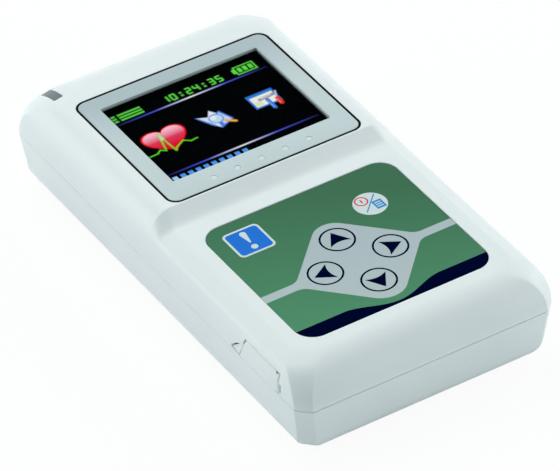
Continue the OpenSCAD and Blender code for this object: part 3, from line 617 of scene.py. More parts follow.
def eased(node, ease, finish, body, slot):
    """A copy of a CAD piece with its loose triangles joined, its flat faces made whole and its
    edges rounded by ease mm, which stands for that piece. Faces over 20 mm2 are shaded flat."""
    form = bmesh.new()
    form.from_mesh(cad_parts[node].data)
    bmesh.ops.remove_doubles(form, verts=form.verts, dist=2e-6)
    bmesh.ops.dissolve_limit(form, angle_limit=np.radians(1), verts=form.verts, edges=form.edges)
    mesh = bpy.data.meshes.new(node + "_eased")
    form.to_mesh(mesh)
    form.free()
    mesh.materials.clear()
    mesh.materials.append(finish)
    piece = place(node + "_eased", mesh)
    bevel = piece.modifiers.new("eased edges", "BEVEL")
    bevel.width = ease / 1000
    bevel.segments = 2
    bevel.angle_limit = np.radians(30)
    bpy.context.view_layer.update()
    final = bpy.data.meshes.new_from_object(piece.evaluated_get(bpy.context.evaluated_depsgraph_get()))
    piece.modifiers.clear()
    piece.data = final
    final.polygons.foreach_set("material_index", np.zeros(len(final.polygons), np.int32))
    dress(piece, finish, body, slot, node, sharp=34)
    area = np.zeros(len(final.polygons), np.float32)
    final.polygons.foreach_get("area", area)
    final.polygons.foreach_set("use_smooth", area < 2e-5)


eased("battery_plates", 0.08, nickel, "housing", "steel")


def lay(points, x, y, z, sign):
    """Points about an upright axis, turned so that the axis runs along +y or -y from (x, y, z)."""
    a, b, c = points[..., 0], points[..., 1], points[..., 2]
    return np.stack([x + a, y + sign * c, z - sign * b], -1)


def coil(radii, height, turns, wire):
    """A wire of round section wound on a cone: its middle runs at radius r round the axis, rising
    as 3t squared less 2t cubed, so that both ends lie flat."""
    t = np.linspace(0, 1, int(turns * 30))[:, None]
    a = 2 * np.pi * turns * t
    p = np.linspace(0, 2 * np.pi, 12, endpoint=False)
    r = radii[0] + (radii[1] - radii[0]) * t + wire * np.cos(p)
    z = wire + (height - 2 * wire) * (3 * t ** 2 - 2 * t ** 3) + wire * np.sin(p)
    return np.stack([r * np.cos(a), r * np.sin(a), z + 0 * a], -1)[:, ::-1]


# the cells' axes, and the two ends of the bay that they stand between
cell_x, cell_z = 5.4, 7.1
bay_front, bay_back = -40.6, 7.1
wire = coil((3.05, 1.95), 3.2, 4.5, 0.28)
spring_wire = make("battery_spring_wires", skin(lay(wire, cell_x, bay_back, cell_z, -1)),
                   skin(lay(wire, -cell_x, bay_front, cell_z, 1)))
dress(spring_wire, nickel, "housing", "steel", "battery_springs", sharp=60)


def clouded(name, scale, low, high, shell, detail=2.0, bump=None):
    """A material that a noise of so many waves a metre runs between two close colours. With bump,
    the strength and the height in metres, the noise raises the surface too. shell holds the
    shader's other values."""
    finish, tree, where = blank(name)
    cloud = add(tree, "ShaderNodeTexNoise", {"Vector": where, "Scale": scale, "Detail": detail})
    tone = mixed(tree, cloud.outputs["Fac"], low, high)
    values = {"Base Color": tone, **shell}
    if bump:
        values["Normal"] = raised(tree, cloud.outputs["Fac"], *bump)
    coat(tree, values)
    return finish


# Plastic sleeve, printed in one blue and shrunk on the steel can: glossy, with a faint metal fleck.
sleeve = clouded("printed_battery_sleeve", 900.0, "#3E5D78", "#4C6F8E", {"Roughness": 0.28, "Metallic": 0.35})

can = [(0.3, 44.45), (3.6, 44.5), (3.8, 44.3), (4.3, 44.3), (4.6, 44.5), (5.0, 44.42), (5.22, 44.15), (5.25, 43.8),
       (5.25, 1.7), (5.18, 1.25), (4.95, 1.0), (4.4, 0.9), (4.1, 1.15), (3.3, 1.15), (2.2, 1.1), (1.9, 0.95),
       (1.86, 0.25), (1.7, 0.06), (0.3, 0.0)]
can_rows = spun(0, 0, can[::-1], 64)
cells = make("battery_cells", skin(lay(can_rows, cell_x, bay_front, cell_z, 1)),
             skin(lay(can_rows, -cell_x, bay_back, cell_z, -1)))
cells.data.materials.append(sleeve)
cells.data.materials.append(nickel)
# both ends are bare metal: every face less than 4.7 mm from its cell's axis
middle = 1000 * np.array([f.center for f in cells.data.polygons])
off = np.hypot(np.abs(middle[:, 0]) - cell_x, middle[:, 2] - cell_z)
cells.data.polygons.foreach_set("material_index", (off < 4.7).astype(np.int32))
dress(cells, sleeve, "housing", "battery", "batteries")

# ---- main board and what it carries ---------------------------------------------------------
# A glass-epoxy board under green solder mask, hung from the top cover by three screws. Under it
# sit six moulded chips, the screening can of the input amplifier and the buzzer.

# Solder mask, printed and cured: a glossy green, paler over the copper tracks, which are drawn as a
# plain grid of 4.2 by 1.1 mm.
mask, tree, where = blank("green_solder_mask")
tracks = add(tree, "ShaderNodeTexBrick", {
    "Vector": where, "Scale": 1.0, "Mortar Size": 0.0001, "Brick Width": 0.0042, "Row Height": 0.0011,
    "Color1": linear("#0C4A26"), "Color2": linear("#0F5A2E"), "Mortar": linear("#2B7A45")})
relief = raised(tree, tracks.outputs["Fac"], 0.4, 0.00003)
coat(tree, {
    "Base Color": tracks.outputs["Color"], "Roughness": 0.3, "Normal": relief, "Coat Weight": 0.3})
keep("main_board", mask)

# Filled epoxy, moulded in a sparked tool: near black and dull, with a grit of about 0.1 mm.
moulding = clouded("black_epoxy_moulding", 9000.0, "#141516", "#26282A", {"Roughness": 0.6}, bump=(0.3, 0.00003))
eased("board_chips", 0.12, moulding, "housing", "chip")
eased("buzzer", 0.25, moulding, "housing", "chip")
eased("amplifier_shield", 0.15, nickel, "housing", "steel")
eased("board_screws", 0.12, nickel, "housing", "steel")
eased("case_screws", 0.12, nickel, "housing", "steel")

# ---- lead socket, data socket and ribbon socket ----------------------------------------------
# Moulded grey nylon shells with gold-plated pins at the screen end for the chest leads, a folded
# steel shell for the data lead on the left, and a small nylon socket for the display's ribbon.

# Glass-filled nylon, injection moulded: dark grey and half matt, clouded where the fibres lie.
nylon = clouded("moulded_grey_nylon", 1200.0, "#35383B", "#484C50", {"Roughness": 0.5}, 3.0, (0.15, 0.00005))

# Gold flashed over nickel on brass: warm and bright, and duller where a plug has rubbed.
gold, tree, where = blank("gold_plated_brass")
rub = add(tree, "ShaderNodeTexNoise", {"Vector": where, "Scale": 2500.0, "Detail": 2.0})
tone = mixed(tree, rub.outputs["Fac"], "#D9B45C", "#E9CC86")
gloss = add(tree, "ShaderNodeMapRange", {0: rub.outputs["Fac"], 3: 0.15, 4: 0.35})
coat(tree, {
    "Base Color": tone, "Metallic": 1.0, "Roughness": gloss.outputs[0]})
eased("lead_socket", 0.2, nylon, "housing", "connector")
eased("lead_contacts", 0.08, gold, "housing", "contact")
eased("data_socket", 0.1, nickel, "housing", "steel")
eased("flex_connector", 0.12, nylon, "housing", "connector")

# ---- display --------------------------------------------------------------------------------
# A 1.8 inch colour screen of 160 by 128 pixels, 0.219 mm each, in a white moulded tray, its amber
# polyimide ribbon going down to the board. The picture on it is drawn here from plain formulas.

# Polycarbonate full of white pigment, moulded smooth: even, half matt, faintly clouded.
tray = clouded("moulded_white_polycarbonate", 500.0, "#D8D8D4", "#E6E6E2", {"Roughness": 0.4})
keep("display_frame", tray)

# Polyimide over copper strips, laminated: a clear amber gloss, darker over each strip, 1 mm apart.
amber, tree, where = blank("amber_polyimide_ribbon")
strips = add(tree, "ShaderNodeTexWave", {"Vector": where, "Scale": 320.0}, bands_direction="X")
tone = mixed(tree, strips.outputs["Fac"], "#B4691E", "#D08A32")
coat(tree, {"Base Color": tone, "Roughness": 0.25})
keep("display_flex", amber)

col, row = np.meshgrid(np.arange(160) + 0.5, np.arange(128) + 0.5)
picture = np.zeros((128, 160, 3))


def paint(shape, colour):
    """Lays a colour, hex or one per pixel, over the picture as far as shape, from 0 to 1, covers."""
    global picture
    tint = np.array(linear(colour)[:3]) if isinstance(colour, str) else colour
    cover = np.clip(shape, 0, 1)[..., None]
    picture = picture * (1 - cover) + tint * cover


def bar(x0, y0, x1, y1, half):
    """How far each pixel lies inside a stroke from one point to another: half its width less the
    distance to the line, plus a half."""
    dx, dy = x1 - x0, y1 - y0
    t = np.clip(((col - x0) * dx + (row - y0) * dy) / max(dx * dx + dy * dy, 1e-9), 0, 1)
    return half + 0.5 - np.hypot(col - x0 - t * dx, row - y0 - t * dy)


def panel(x0, y0, x1, y1):
    """How far each pixel lies inside an upright rectangle."""
    return 0.5 + np.minimum(np.minimum(col - x0, x1 - col), np.minimum(row - y0, y1 - row))


def convex(*corners):
    """How far each pixel lies inside a convex shape whose corners run clockwise on the screen."""
    c = np.array(corners, float)
    d = np.roll(c, -1, 0) - c
    d /= np.linalg.norm(d, axis=1)[:, None]
    depth = [d[i, 0] * (row - c[i, 1]) - d[i, 1] * (col - c[i, 0]) for i in range(len(c))]
    return 0.5 + np.min(depth, axis=0)


def shade(v, stops, codes):
    """A colour for each value of v, straight between the colours at the stops."""
    tints = np.array([linear(code)[:3] for code in codes])
    return np.stack([np.interp(v, stops, tints[:, k]) for k in range(3)], -1)


# two fine rules, white in the middle and fading through blue towards both ends
fading = shade(np.abs(col - 80) / 80, [0, 0.12, 0.45, 1], ("#FFFFFF", "#DDE0FF", "#4A58D8", "#15153C"))
for level in (22.6, 109.6):
    paint(1.3 - np.abs(row - level), fading)

# a plain list sign, a clock in seven-bar figures and a full battery, all in green
green = "#62E04C"
for level in (9.6, 13.5, 17.4):
    paint(panel(3.6, level - 1, 7.4, level + 1), green)
    paint(panel(10.4, level - 1, 34, level + 1), green)
bars = {"top": (1.4, 0, 4.4, 0), "mid": (1.4, 4.1, 4.4, 4.1), "low": (1.4, 8.2, 4.4, 8.2), "ul": (0.8, 0.6, 0.8, 3.5),
        "ur": (5.0, 0.6, 5.0, 3.5), "ll": (0.8, 4.7, 0.8, 7.6), "lr": (5.0, 4.7, 5.0, 7.6)}
figures = {"0": "top low ul ur ll lr", "1": "ur lr", "2": "top mid low ur ll", "3": "top mid low ur lr",
           "4": "mid ul ur lr", "5": "top mid low ul lr"}
for nth, figure in enumerate("10:24:35"):
    left = 55.5 + 8 * nth
    if figure == ":":
        paint(panel(left + 1.9, 11.2, left + 3.9, 13.2), green)
        paint(panel(left + 1.9, 15.4, left + 3.9, 17.4), green)
        continue
    for name in figures[figure].split():
        x0, y0, x1, y1 = bars[name]
        paint(bar(left + x0, 9.8 + y0, left + x1, 9.8 + y1, 0.8), green)
paint(panel(131.6, 7, 152.4, 19.6), green)
paint(panel(129, 10, 132, 16.6), green)
paint(panel(133, 8.4, 151, 18.2), "#000000")
for left in (134.6, 140.2, 145.8):
    paint(panel(left, 10, left + 3.8, 16.6), green)

# a glossy heart, pale above and red below, with a pulse line across it
hx, hy = (col - 29.6) / 21.6, -(row - 68.5) / 17.5
heart = hx ** 2 + (1.15 * hy - 0.75 * np.sqrt(np.abs(hx))) ** 2 - 1
blush = shade((hy + 0.9) / 2, [0, 0.3, 0.6, 0.95], ("#E60E22", "#E01430", "#E63A60", "#FFC4D6"))
paint(0.5 - 9 * heart, "#F01010")
paint(0.5 - 9 * (heart + 0.15), blush)
pulse = [(3.8, 78), (12, 77.6), (16.3, 74.4), (20.6, 77.9), (23.6, 66), (26.2, 52.7), (28.2, 82.6), (30.9, 78.8),
         (40.7, 73.4), (46.1, 77.7), (53.1, 77.2)]
for (x0, y0), (x1, y1) in zip(pulse[:-1], pulse[1:]):
    paint(bar(x0, y0, x1, y1, 0.7), "#5FE024")
paint(convex((26.2, 51.6), (28.4, 62), (23.8, 64)), "#B8F29A")

# pages under a magnifier
paint(convex((65.4, 52.6), (68, 53.3), (79.4, 77.4), (73.2, 69.4)), "#4F86E6")
paint(convex((67.4, 53.6), (76.4, 57.6), (84, 72), (79.2, 76.6)), "#DCE6FF")
paint(convex((81.3, 49.6), (86.4, 57.6), (88, 71), (78, 75), (74.8, 59.4)), "#E9EEFF")
paint(convex((81, 58), (88.9, 54.3), (94.9, 71.2), (79.2, 77.4)), "#4E86E6")
paint(convex((84.4, 58.4), (87.8, 56.6), (93, 70.2), (83.6, 73.8)), "#C9DAFF")
paint(7.5 - np.hypot(col - 81.3, row - 63), "#6F93DC")
paint(6.2 - np.hypot(col - 81.3, row - 63), "#BFE2F6")
paint(3.4 - np.hypot(col - 79.4, row - 60.8), "#E8F7FF")
paint(bar(87.3, 69.6, 94.4, 75.7, 1.5), "#F2A51E")
paint(bar(87.6, 69.3, 94.2, 75.0, 0.3), "#FFD98A")

# a window with a hammer and a screwdriver
paint(panel(118.2, 51.6, 145.3, 72.8), "#2F7BE0")
paint(panel(120.2, 55.6, 143.3, 70.9), "#F4F6EC")
paint(panel(120.2, 63, 128, 70.9), "#E4EBC8")
paint(bar(128.2, 61.6, 141.8, 60.6, 1.9), "#8E949C")
paint(bar(129.4, 61.0, 140, 60.2, 0.7), "#D9DDE2")
paint(bar(133.9, 65, 133.9, 78.4, 2.0), "#3A78D8")
paint(bar(133.3, 66, 133.3, 77.2, 0.5), "#8CB6F4")
paint(bar(146.4, 57.6, 143.2, 64.8, 0.8), "#C6CBD2")
paint(bar(142.7, 68, 142.4, 75.8, 2.3), "#E8321E")
paint(bar(141.9, 68.6, 141.6, 75, 0.6), "#FF8A6A")

# a plain row of blue blocks at the foot
for n in range(10):
    paint(panel(4 + 8 * n, 114.5, 9 + 8 * n, 121.5), "#4F9BF2" if n else "#A9D2FF")

# the panel: one face for each pixel and a dark margin round them, closed by its sides and its back
glass_low, glass_high = 19.5, 20.85
screen_x = np.concatenate([[-18.2], np.linspace(-17.52, 17.52, 161), [18.2]])
screen_y = np.concatenate([[8.45], np.linspace(9.035, 37.065, 129), [37.65]])
x, y = np.meshgrid(screen_x, screen_y)
n, m = x.shape
pixels = grid_faces(n, m)
top = np.stack([x, y, 0 * x + glass_high], -1).reshape(-1, 3)
rim_loop = np.concatenate([np.arange(m), np.arange(1, n) * m + m - 1, (n - 1) * m + np.arange(m - 2, -1, -1),
                           np.arange(n - 2, 0, -1) * m])
under = top[rim_loop] * (1, 1, 0) + (0, 0, glass_low)
i = np.arange(len(rim_loop))
j = np.roll(i, -1)
sides = np.column_stack([n * m + i, n * m + j, rim_loop[j], rim_loop[i]]).tolist()
mesh = bpy.data.meshes.new("display_panel")
mesh.from_pydata(np.vstack([top, under]) / 1000, [], pixels + sides + [(n * m + i[::-1]).tolist()])
colours = np.zeros((len(mesh.polygons), 4), np.float32)
colours[:, 3] = 1
framed = np.zeros((n - 1, m - 1, 3))
framed[1:-1, 1:-1] = picture[::-1]
colours[:len(pixels), :3] = framed.reshape(-1, 3)
layer = mesh.attributes.new("pixel", "FLOAT_COLOR", "FACE")
layer.data.foreach_set("color", colours.reshape(-1))
display = place("display_panel", mesh)

# Liquid-crystal panel: black when dark, each pixel lit from behind in its own colour. Fine streaks
# in the polariser change its gloss a little.
lcd, tree, where = blank("lit_liquid_crystal_panel")
streak = add(tree, "ShaderNodeTexNoise", {"Vector": where, "Scale": 800.0})
gloss = add(tree, "ShaderNodeMapRange", {0: streak.outputs["Fac"], 3: 0.25, 4: 0.35})
lit = add(tree, "ShaderNodeAttribute", attribute_name="pixel")
coat(tree, {
    "Base Color": linear("#020304"), "Roughness": gloss.outputs[0], "Specular IOR Level": 0.0,
    "Emission Color": lit.outputs["Color"], "Emission Strength": 1.0})
mesh.materials.append(lcd)
dress(display, lcd, "housing", "display", "display_glass")

# ---- lens -----------------------------------------------------------------------------------
# A clear acrylic plate with a hard anti-reflection coat, held between the bezel and the cover. The
# coat takes nearly all of the mirror image, so the sheet shows as a faint dark haze (low alpha).

acrylic, tree, where = blank("coated_clear_acrylic")
wave = add(tree, "ShaderNodeTexNoise", {"Vector": where, "Scale": 120.0})
relief = raised(tree, wave.outputs["Fac"], 0.02, 0.00002)
coat(tree, {
    "Base Color": linear("#101214"), "Roughness": 0.03, "Specular IOR Level": 0.0, "Alpha": 0.06,
    "Normal": relief})
keep("display_lens", acrylic)

# ---- bezel, its seal and its dots ------------------------------------------------------------
# A satin silver-grey plate glued into the screen's recess, with a black seal strip showing round
# it and five pale dots under the window.

# Satin lacquer with a fine metal flake, sprayed: a pale cool grey. Painted shade makes it a little
# deeper towards the casing's end, in place of the dimmer reflection there.
silver, tree, where = blank("satin_silver_lacquer")
fine = add(tree, "ShaderNodeTexNoise", {"Vector": where, "Scale": 3500.0, "Detail": 2.0})
part = add(tree, "ShaderNodeSeparateXYZ", {0: where})
# painted shade: the grey deepens along y towards the casing's end, standing in for the darker reflection there
along = add(tree, "ShaderNodeMapRange", {0: part.outputs["Y"], 1: 0.024, 2: 0.0405})
speck = add(tree, "ShaderNodeMath", {0: fine.outputs["Fac"], 1: 0.12, 2: along.outputs[0]}, operation="MULTIPLY_ADD")
tone = mixed(tree, speck.outputs[0], "#C6D1D3", "#ABB9BD")
relief = raised(tree, fine.outputs["Fac"], 0.08, 0.00003)
coat(tree, {
    "Base Color": tone, "Roughness": 0.42, "Normal": relief, "Specular IOR Level": 0.3})

# Silicone rubber, moulded: black and quite dull, with a little dust on it.
seal_rubber = clouded("black_silicone_seal", 1500.0, "#020303", "#060809",
                      {"Roughness": 0.6, "Specular IOR Level": 0.05})
keep("bezel_seal", seal_rubber)

# the plate's outline and its window, each with an eased upper edge
c = np.linspace(0, np.pi / 2, 4)
outer = [(round_outline(21.5 - e, 3.5 + e, 40.6 - e, 2 - e, 2 - e), z)
         for e, z in zip(0.12 * (1 - np.cos(c)), 22.28 + 0.12 * np.sin(c))]
inner = [(round_outline(17.9 + e, 9.25 - e, 36.85 + e, 0.3 + e, 0.3 + e), z)
         for e, z in zip(0.08 * (1 - np.sin(c)), 22.32 + 0.08 * np.cos(c))]
dots_y, dot_step = 5.95, 5.4
plate_rows = [(outer[0][0], 21.75)] + outer + inner + [(inner[-1][0], 21.75), (outer[0][0], 21.75)]
bezel = make("bezel_plate", skin(stack(plate_rows), False, False))
dot_rooms = [turned("dot_room", dot_step * n, dots_y, [(0.67, 22.1), (0.67, 22.6)], 32) for n in range(-2, 3)]
combine(bezel, "DIFFERENCE", *dot_rooms)
dress(bezel, silver, "housing", "bezel", "screen_bezel", sharp=30)

# ABS in a paler grey, moulded smooth: half gloss, and nearly even.
pale = clouded("pale_moulded_dots", 4000.0, "#CFD8D8", "#DBE2E3", {"Roughness": 0.35})
dome = spun(0, dots_y, [(0.65, 22.1), (0.65, 22.27), (0.61, 22.32), (0.5, 22.35), (0.2, 22.36)], 40)
dots = make("bezel_pale_dots", *[skin(dome + (dot_step * n, 0, 0)) for n in range(-2, 3)])
dress(dots, pale, "housing", "pale_dots", "bezel_dots")

# ---- keypad film and keys -------------------------------------------------------------------
# Polycarbonate film, screen printed from behind in flat inks and let into its recess on a layer of
# adhesive. The six keys are cut from the same sheet, each with a stem that reaches its dome.


def ink(name, low, high, sheen=0.05):
    """Polycarbonate film over one screen-printed ink: satin, with the film's embossed grain, really
    0.1 mm and drawn at 0.3 mm. The ink goes from one colour at the keypad's foot to another at its
    head."""
    finish, tree, where = blank(name)
    grain = add(tree, "ShaderNodeTexNoise", {"Vector": where, "Scale": 3200.0, "Detail": 2.0})
    part = add(tree, "ShaderNodeSeparateXYZ", {0: where})
    slant = add(tree, "ShaderNodeMath", {0: part.outputs["X"], 1: 0.45, 2: part.outputs["Y"]},
                operation="MULTIPLY_ADD")
    along = add(tree, "ShaderNodeMapRange", {0: slant.outputs[0], 1: -0.048, 2: 0.0})
    speck = add(tree, "ShaderNodeMath", {0: grain.outputs["Fac"], 1: 0.2, 2: along.outputs[0]},
                operation="MULTIPLY_ADD")
    tone = mixed(tree, speck.outputs[0], low, high)
    relief = raised(tree, grain.outputs["Fac"], 0.1, 0.00003)
    coat(tree, {
        "Base Color": tone, "Roughness": 0.42, "Normal": relief, "Specular IOR Level": sheen})
    return finish


inks = {"green": ink("film_over_green_ink", "#51906A", "#3C6C4F"),
        "grey": ink("film_over_grey_ink", "#BAC5C6", "#AEBABE"),
        "navy": ink("film_over_navy_ink", "#00072A", "#00092F", 0.0),
        "blue": ink("film_over_blue_ink", "#1F78DC", "#1C70D2"),
        "white": ink("film_over_white_ink", "#CEDAD7", "#D4DFDD"),
        "red": ink("film_over_red_ink", "#D8243C", "#D8243C"),
        "sky": ink("film_over_sky_ink", "#2F8CCB", "#2F8CCB")}


def ring(x, y, r, steps=96):
    """Points round a circle."""
    a = np.linspace(0, 2 * np.pi, steps, endpoint=False)
    return np.column_stack([x + r * np.cos(a), y + r * np.sin(a)])


def rounded(points, radii):
    """An outline whose corners are arcs of the given radii: each arc is tangent to both sides."""
    p = np.array(points, float)
    out = []
    for before, corner, after, r in zip(np.roll(p, 1, 0), p, np.roll(p, -1, 0), radii):
        u = (before - corner) / np.linalg.norm(before - corner)
        v = (after - corner) / np.linalg.norm(after - corner)
        half = np.arccos(np.clip(u @ v, -1, 1)) / 2
        if r == 0:
            out.append(corner[None])
            continue
        middle = corner + (u + v) / np.linalg.norm(u + v) * r / np.sin(half)
        start, end = corner + u * r / np.tan(half) - middle, corner + v * r / np.tan(half) - middle
        a0 = np.arctan2(start[1], start[0])
        turn = np.arctan2(start[0] * end[1] - start[1] * end[0], start @ end)
        a = a0 + turn * np.linspace(0, 1, 17)
        out.append(middle + r * np.column_stack([np.cos(a), np.sin(a)]))
    return np.vstack(out)


def inside(shape, points):
    """Which points lie in a closed outline, by how often a line to the right of each crosses it."""
    a, b = shape, np.roll(shape, -1, 0)
    x, y = points[:, :1], points[:, 1:]
    cross = (a[:, 1] > y) != (b[:, 1] > y)
    with np.errstate(divide="ignore", invalid="ignore"):
        at = a[:, 0] + (y - a[:, 1]) / (b[:, 1] - a[:, 1]) * (b[:, 0] - a[:, 0])
    return (cross & (x < at)).sum(1) % 2 == 1


film_low, film_high = 19.7, 20.0


def printed(name, outline, holes, prints, under=()):
    """A flat piece of the film, divided along the edges of its prints. Each print is (ink,
    outlines): a part of the sheet inside an odd number of the outlines takes that ink, the last
    print that covers it. The first print's ink is the sheet's own."""
    shapes = [outline, *holes] + [s for _, own in prints[1:] for s in own]
    ends = np.cumsum([0] + [len(s) for s in shapes])
    edges = [(int(k), int(start + (k - start + 1) % (end - start)))
             for start, end in zip(ends[:-1], ends[1:]) for k in range(start, end)]
    flat, _, tris, *_ = delaunay_2d_cdt([tuple(v) for v in np.vstack(shapes)], edges, [], 0, 1e-5)
    flat = np.array([tuple(v) for v in flat])
    tris = np.array(tris)
    u, v = flat[tris[:, 1]] - flat[tris[:, 0]], flat[tris[:, 2]] - flat[tris[:, 0]]
    area = u[:, 0] * v[:, 1] - u[:, 1] * v[:, 0]
    tris = np.where((area < 0)[:, None], tris[:, ::-1], tris)[np.abs(area) > 1e-9]
    middle = flat[tris].mean(1)
    kept = inside(outline, middle)
    for hole in holes:
        kept &= ~inside(hole, middle)
    tris, middle = tris[kept], middle[kept]
    which = np.zeros(len(tris), np.int32)
    for index, (_, own) in enumerate(prints[1:], 1):
        odd = np.zeros(len(tris), bool)
        for shape in own:
            odd ^= inside(shape, middle)
        which[odd] = index
    count = len(flat)
    one_way = np.vstack([tris[:, [0, 1]], tris[:, [1, 2]], tris[:, [2, 0]]])
    owner = np.tile(np.arange(len(tris)), 3)
    lone = ~np.isin(one_way[:, 0] * count + one_way[:, 1], one_way[:, 1] * count + one_way[:, 0])
    a, b = one_way[lone].T
    rim_faces = np.column_stack([a + count, b + count, b, a])
    faces = tris.tolist() + (tris[:, ::-1] + count).tolist() + rim_faces.tolist()
    numbers = [which, 0 * which, which[owner[lone]]]
    points = [np.column_stack([flat, 0 * flat[:, 0] + z]) for z in (film_high, film_low)]
    for own_points, own_faces in under:
        shift = sum(map(len, points))
        points.append(own_points)
        faces += [[k + shift for k in face] for face in own_faces]
        numbers.append(np.zeros(len(own_faces), np.int32))
    mesh = bpy.data.meshes.new(name)
    mesh.from_pydata(np.vstack(points) / 1000, [], faces)
    for finish, _ in prints:
        mesh.materials.append(finish)
    mesh.polygons.foreach_set("material_index", np.concatenate(numbers).astype(np.int32))
    loose = bmesh.new()
    loose.from_mesh(mesh)
    bmesh.ops.delete(loose, geom=[v for v in loose.verts if not v.link_faces], context="VERTS")
    loose.to_mesh(mesh)
    loose.free()
    return place(name, mesh)


def outline_of(half, front, back, r):
    """A whole rectangle with round corners, anticlockwise."""
    side = round_outline(half, front, back, r, r, ys=np.array([(front + back) / 2]), xs=np.array([0.0]))
    return once_round(np.column_stack([side, 0 * side[:, 0]]))[:, :2]


film_outline = outline_of(21.25, -43.6, -5.1, 4.1)
key_holes = {name: ring(x, y, 3.43) for name, (x, y) in arrow_keys.items()}
key_holes["power"] = ring(*power_spot, 3.46)
mark_plate = outline_of(3.97, -3.97, 3.97, 1.07) + mark_spot
key_holes["mark"] = outline_of(4.0, -4.0, 4.0, 1.1) + mark_spot
lozenge = rounded([(-22, -29.75), (-13.2, -29.75), (0, -43.57), (13.2, -29.75), (22, -29.75),
                   (22, -27.7), (13.39, -27.7), (0, -13.9), (-13.39, -27.7), (-22, -27.7)],
                  [0, 3, 5.07, 3, 0, 0, 3, 4.48, 3, 0])
x = np.linspace(-22, 22, 177)
wave_edge = -40.05 - 2.85 * 0.5 * (1 + np.cos(np.pi * np.clip(np.abs(x) / 11, 0, 1)))
wave = np.vstack([np.column_stack([x, wave_edge]), [(22, -45), (-22, -45)]])
arrow_rings = [ring(x, y, 3.57) for x, y in arrow_keys.values()]
film = printed("printed_keypad_film", film_outline, list(key_holes.values()),
               [(inks["green"], []), (inks["navy"], [wave]), (inks["grey"], [lozenge]), (inks["navy"], arrow_rings)])
dress(film, inks["green"], "housing", "film_green", "keypad_film")

# Tissue soaked in acrylic adhesive: white, quite matt, with its fibres showing.
tape = clouded("white_adhesive_tape", 2000.0, "#DAD9D2", "#EEEDE6", {"Roughness": 0.7}, 4.0)
keep("keypad_adhesive", tape)


def stem(x, y):
    """The round stem under a key: a straight wall with a small easing at its foot."""
    return skin(spun(x, y, [(1.35, 18.4), (1.46, 18.44), (1.5, 18.55), (1.5, film_low)], 36))


# the arrowhead points away from the middle of the cross, its foot hollowed
t = np.linspace(-1, 1, 15)
arrow = np.vstack([[(0, 2.45)], np.column_stack([2.33 * t, -1.42 + 0.65 * (1 - t ** 2)])])
for name, (x, y) in arrow_keys.items():
    away = np.array((x, y - cross_y)) / key_step
    head = np.column_stack([arrow[:, 0] * away[1] + arrow[:, 1] * away[0],
                            arrow[:, 1] * away[1] - arrow[:, 0] * away[0]])
    key = printed("printed_key_" + name, ring(x, y, 3.40), [],
                  [(inks["grey"], []), (inks["navy"], [ring(x, y, 3.6), ring(x, y, 3.16)]),
                   (inks["navy"], [head + (x, y)])],
                  [stem(x, y)])
    dress(key, inks["grey"], "key_" + name, "film_grey", "key_" + name)

# the mark key's sign: a white drop over a dot on a blue plate
drop_t = np.linspace(0, np.pi, 17)
drop = np.vstack([np.column_stack([0.7 * np.cos(drop_t), 2.3 + 0.68 * np.sin(drop_t)]),
                  [(-0.17, -0.55), (0, -0.68), (0.17, -0.55)]])
mark = printed("printed_key_mark", mark_plate, [],
               [(inks["white"], []), (inks["blue"], [outline_of(3.5, -3.5, 3.5, 0.75) + mark_spot]),
                (inks["white"], [drop + mark_spot]),
                (inks["white"], [ring(mark_spot[0], mark_spot[1] - 2.08, 0.7, 40)])],
               [stem(*mark_spot)])
dress(mark, inks["white"], "key_mark", "film_blue", "key_mark")

# the power key's signs: a red ring with a bar, a slanting stroke, and a page with three lines
px, py = power_spot
bar_sign = outline_of(0.15, -0.55, 0.55, 0.05) + (px - 1.11, py + 1.5)
u = np.array([0.703, 0.711])
v = np.array([-0.711, 0.703])
stroke = np.array([-2.75 * u - 0.13 * v, 3.1 * u - 0.13 * v, 3.1 * u + 0.13 * v, -2.75 * u + 0.13 * v]) + power_spot
page = outline_of(1.04, -1.28, 1.28, 0.12) + (px + 1.4, py - 0.93)
lines = [outline_of(0.68, -0.13, 0.13, 0.04) + (px + 1.4, py - 0.93 + h) for h in (0.62, 0.0, -0.62)]
circle = [ring(px - 1.11, py + 1.5, r, 60) for r in (1.38, 1.1)]
power = printed("printed_key_power", ring(px, py, 3.43), [],
                [(inks["white"], []), (inks["red"], circle), (inks["red"], [bar_sign]), (inks["sky"], [stroke]),
                 (inks["sky"], [page]), (inks["white"], lines)],
                [stem(px, py)])
dress(power, inks["white"], "key_power", "film_white", "key_power")
eased("key_domes", 0.05, nickel, "housing", "steel")

# ---- indicator ------------------------------------------------------------------------------
# A smoked window let into the left shoulder at the screen's end, flush with it, over a clear light
# on the board.

# Polycarbonate tinted a smoky grey, moulded glossy: dark, with hardly any cloud in it.
smoked = clouded("smoked_polycarbonate", 700.0, "#55636A", "#66757C", {"Roughness": 0.2})
light_window = block("indicator_light_window", -22.5, 50, 17.95, 2.0, 10, 6, 0.32)
combine(light_window, "INTERSECT", casing_top("skin", t=0.03))
combine(light_window, "DIFFERENCE", casing_top("hollow", t=1.4))
dress(light_window, smoked, "housing", "indicator", "indicator_window")

# Clear epoxy with a green cast, cast round the light's chip: smooth and glossy.
resin = clouded("clear_light_resin", 2500.0, "#CBE8CC", "#E2F4E2", {"Roughness": 0.15})
eased("indicator_light", 0.08, resin, "housing", "led")

# ---- side cover -----------------------------------------------------------------------------
# A small hinged cover over the data socket, moulded in the casing's ABS and flush with its wall.
# Its front end is a barrel on a steel pin, and behind its slanting rear edge is the finger hold.

# heights from the lower to the upper edge, both eased, and how far in the wall is at each of them
z = np.concatenate([12.24 + 0.1 * (1 - np.cos(c)), np.linspace(12.34, 16.68, 20)[1:], 16.68 + 0.12 * np.sin(c)[1:]])
ease = np.concatenate([0.1 * (1 - np.sin(c)), np.zeros(19), 0.12 * (1 - np.cos(c))[1:]])
z, ease = z[:, None], ease[:, None]
face_x = ease + lean * (z - part_line) + quarter(z, shoulder_foot, side_run) - half_w
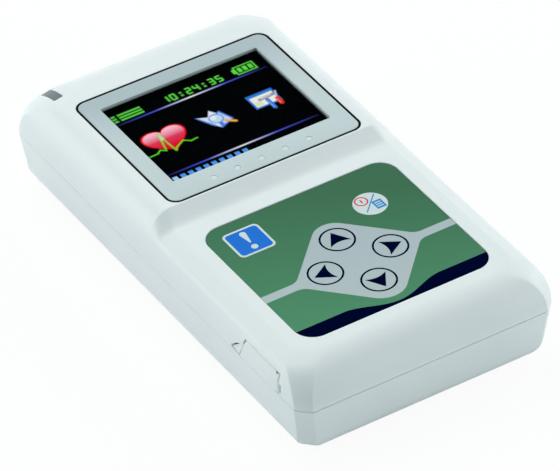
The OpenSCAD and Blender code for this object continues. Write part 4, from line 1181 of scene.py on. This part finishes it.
# the slanting rear edge, the radius of its outer corner, the barrel and the flat inner side
rear_y = np.interp(z, [12.24, 14.4, 16.8], [-31.4, -32.35, -33.35])
soft = 0.5
barrel_r = 0.8
turn_in = np.linspace(np.pi / 2, np.pi, 9)
barrel_turn = np.linspace(np.pi, 2 * np.pi + np.radians(53), 25)
inner_x = -27.33
parts = [(0 * z + inner_x, rear_y),
         (np.minimum(face_x + soft + soft * np.cos(turn_in), inner_x), rear_y - soft + soft * np.sin(turn_in)),
         (face_x + np.zeros(6), rear_y - soft + (np.linspace(0, 1, 8)[1:-1]) * (pin_y - rear_y + soft)),
         (np.maximum(pin_x + barrel_r * np.cos(barrel_turn) + 0 * z, face_x),
          pin_y + barrel_r * np.sin(barrel_turn) + 0 * z)]
rows = np.stack([np.concatenate([p[0] for p in parts], 1), np.concatenate([p[1] for p in parts], 1),
                 z + np.zeros((1, sum(p[0].shape[1] for p in parts)))], -1)
side_flap = make("side_flap", skin(rows))
combine(side_flap, "DIFFERENCE", turned("pin_room", pin_x, pin_y, [(0.55, 12), (0.55, 17)], 32))
dress(side_flap, abs_white, "side_cover", "casing", "side_cover", sharp=30)
keep("side_cover_pin", nickel)

# ---- battery door and plate in the base ------------------------------------------------------
# The door is the same ABS, hinged at its front edge, with seven grip grooves by the finger hold.
# Behind it, a bare brushed aluminium plate is stuck into its own shallow recess.

eased("battery_door", 0.2, abs_white, "battery_door", "casing")

# Aluminium brushed along x and left bare: hairlines, drawn 0.1 mm apart and 8 mm long, that blur
# the highlight across them.
brushed, tree, where = blank("brushed_aluminium_plate")
long_way = add(tree, "ShaderNodeMapping", {"Vector": where, "Scale": (120.0, 9000.0, 9000.0)})
lines = add(tree, "ShaderNodeTexNoise", {"Vector": long_way.outputs[0], "Scale": 1.0, "Detail": 3.0})
tone = mixed(tree, lines.outputs["Fac"], "#BFC2C5", "#D9DBDD")
gloss = add(tree, "ShaderNodeMapRange", {0: lines.outputs["Fac"], 3: 0.3, 4: 0.5})
coat(tree, {
    "Base Color": tone, "Metallic": 1.0, "Roughness": gloss.outputs[0]})
eased("rating_plate", 0.03, brushed, "housing", "plate")
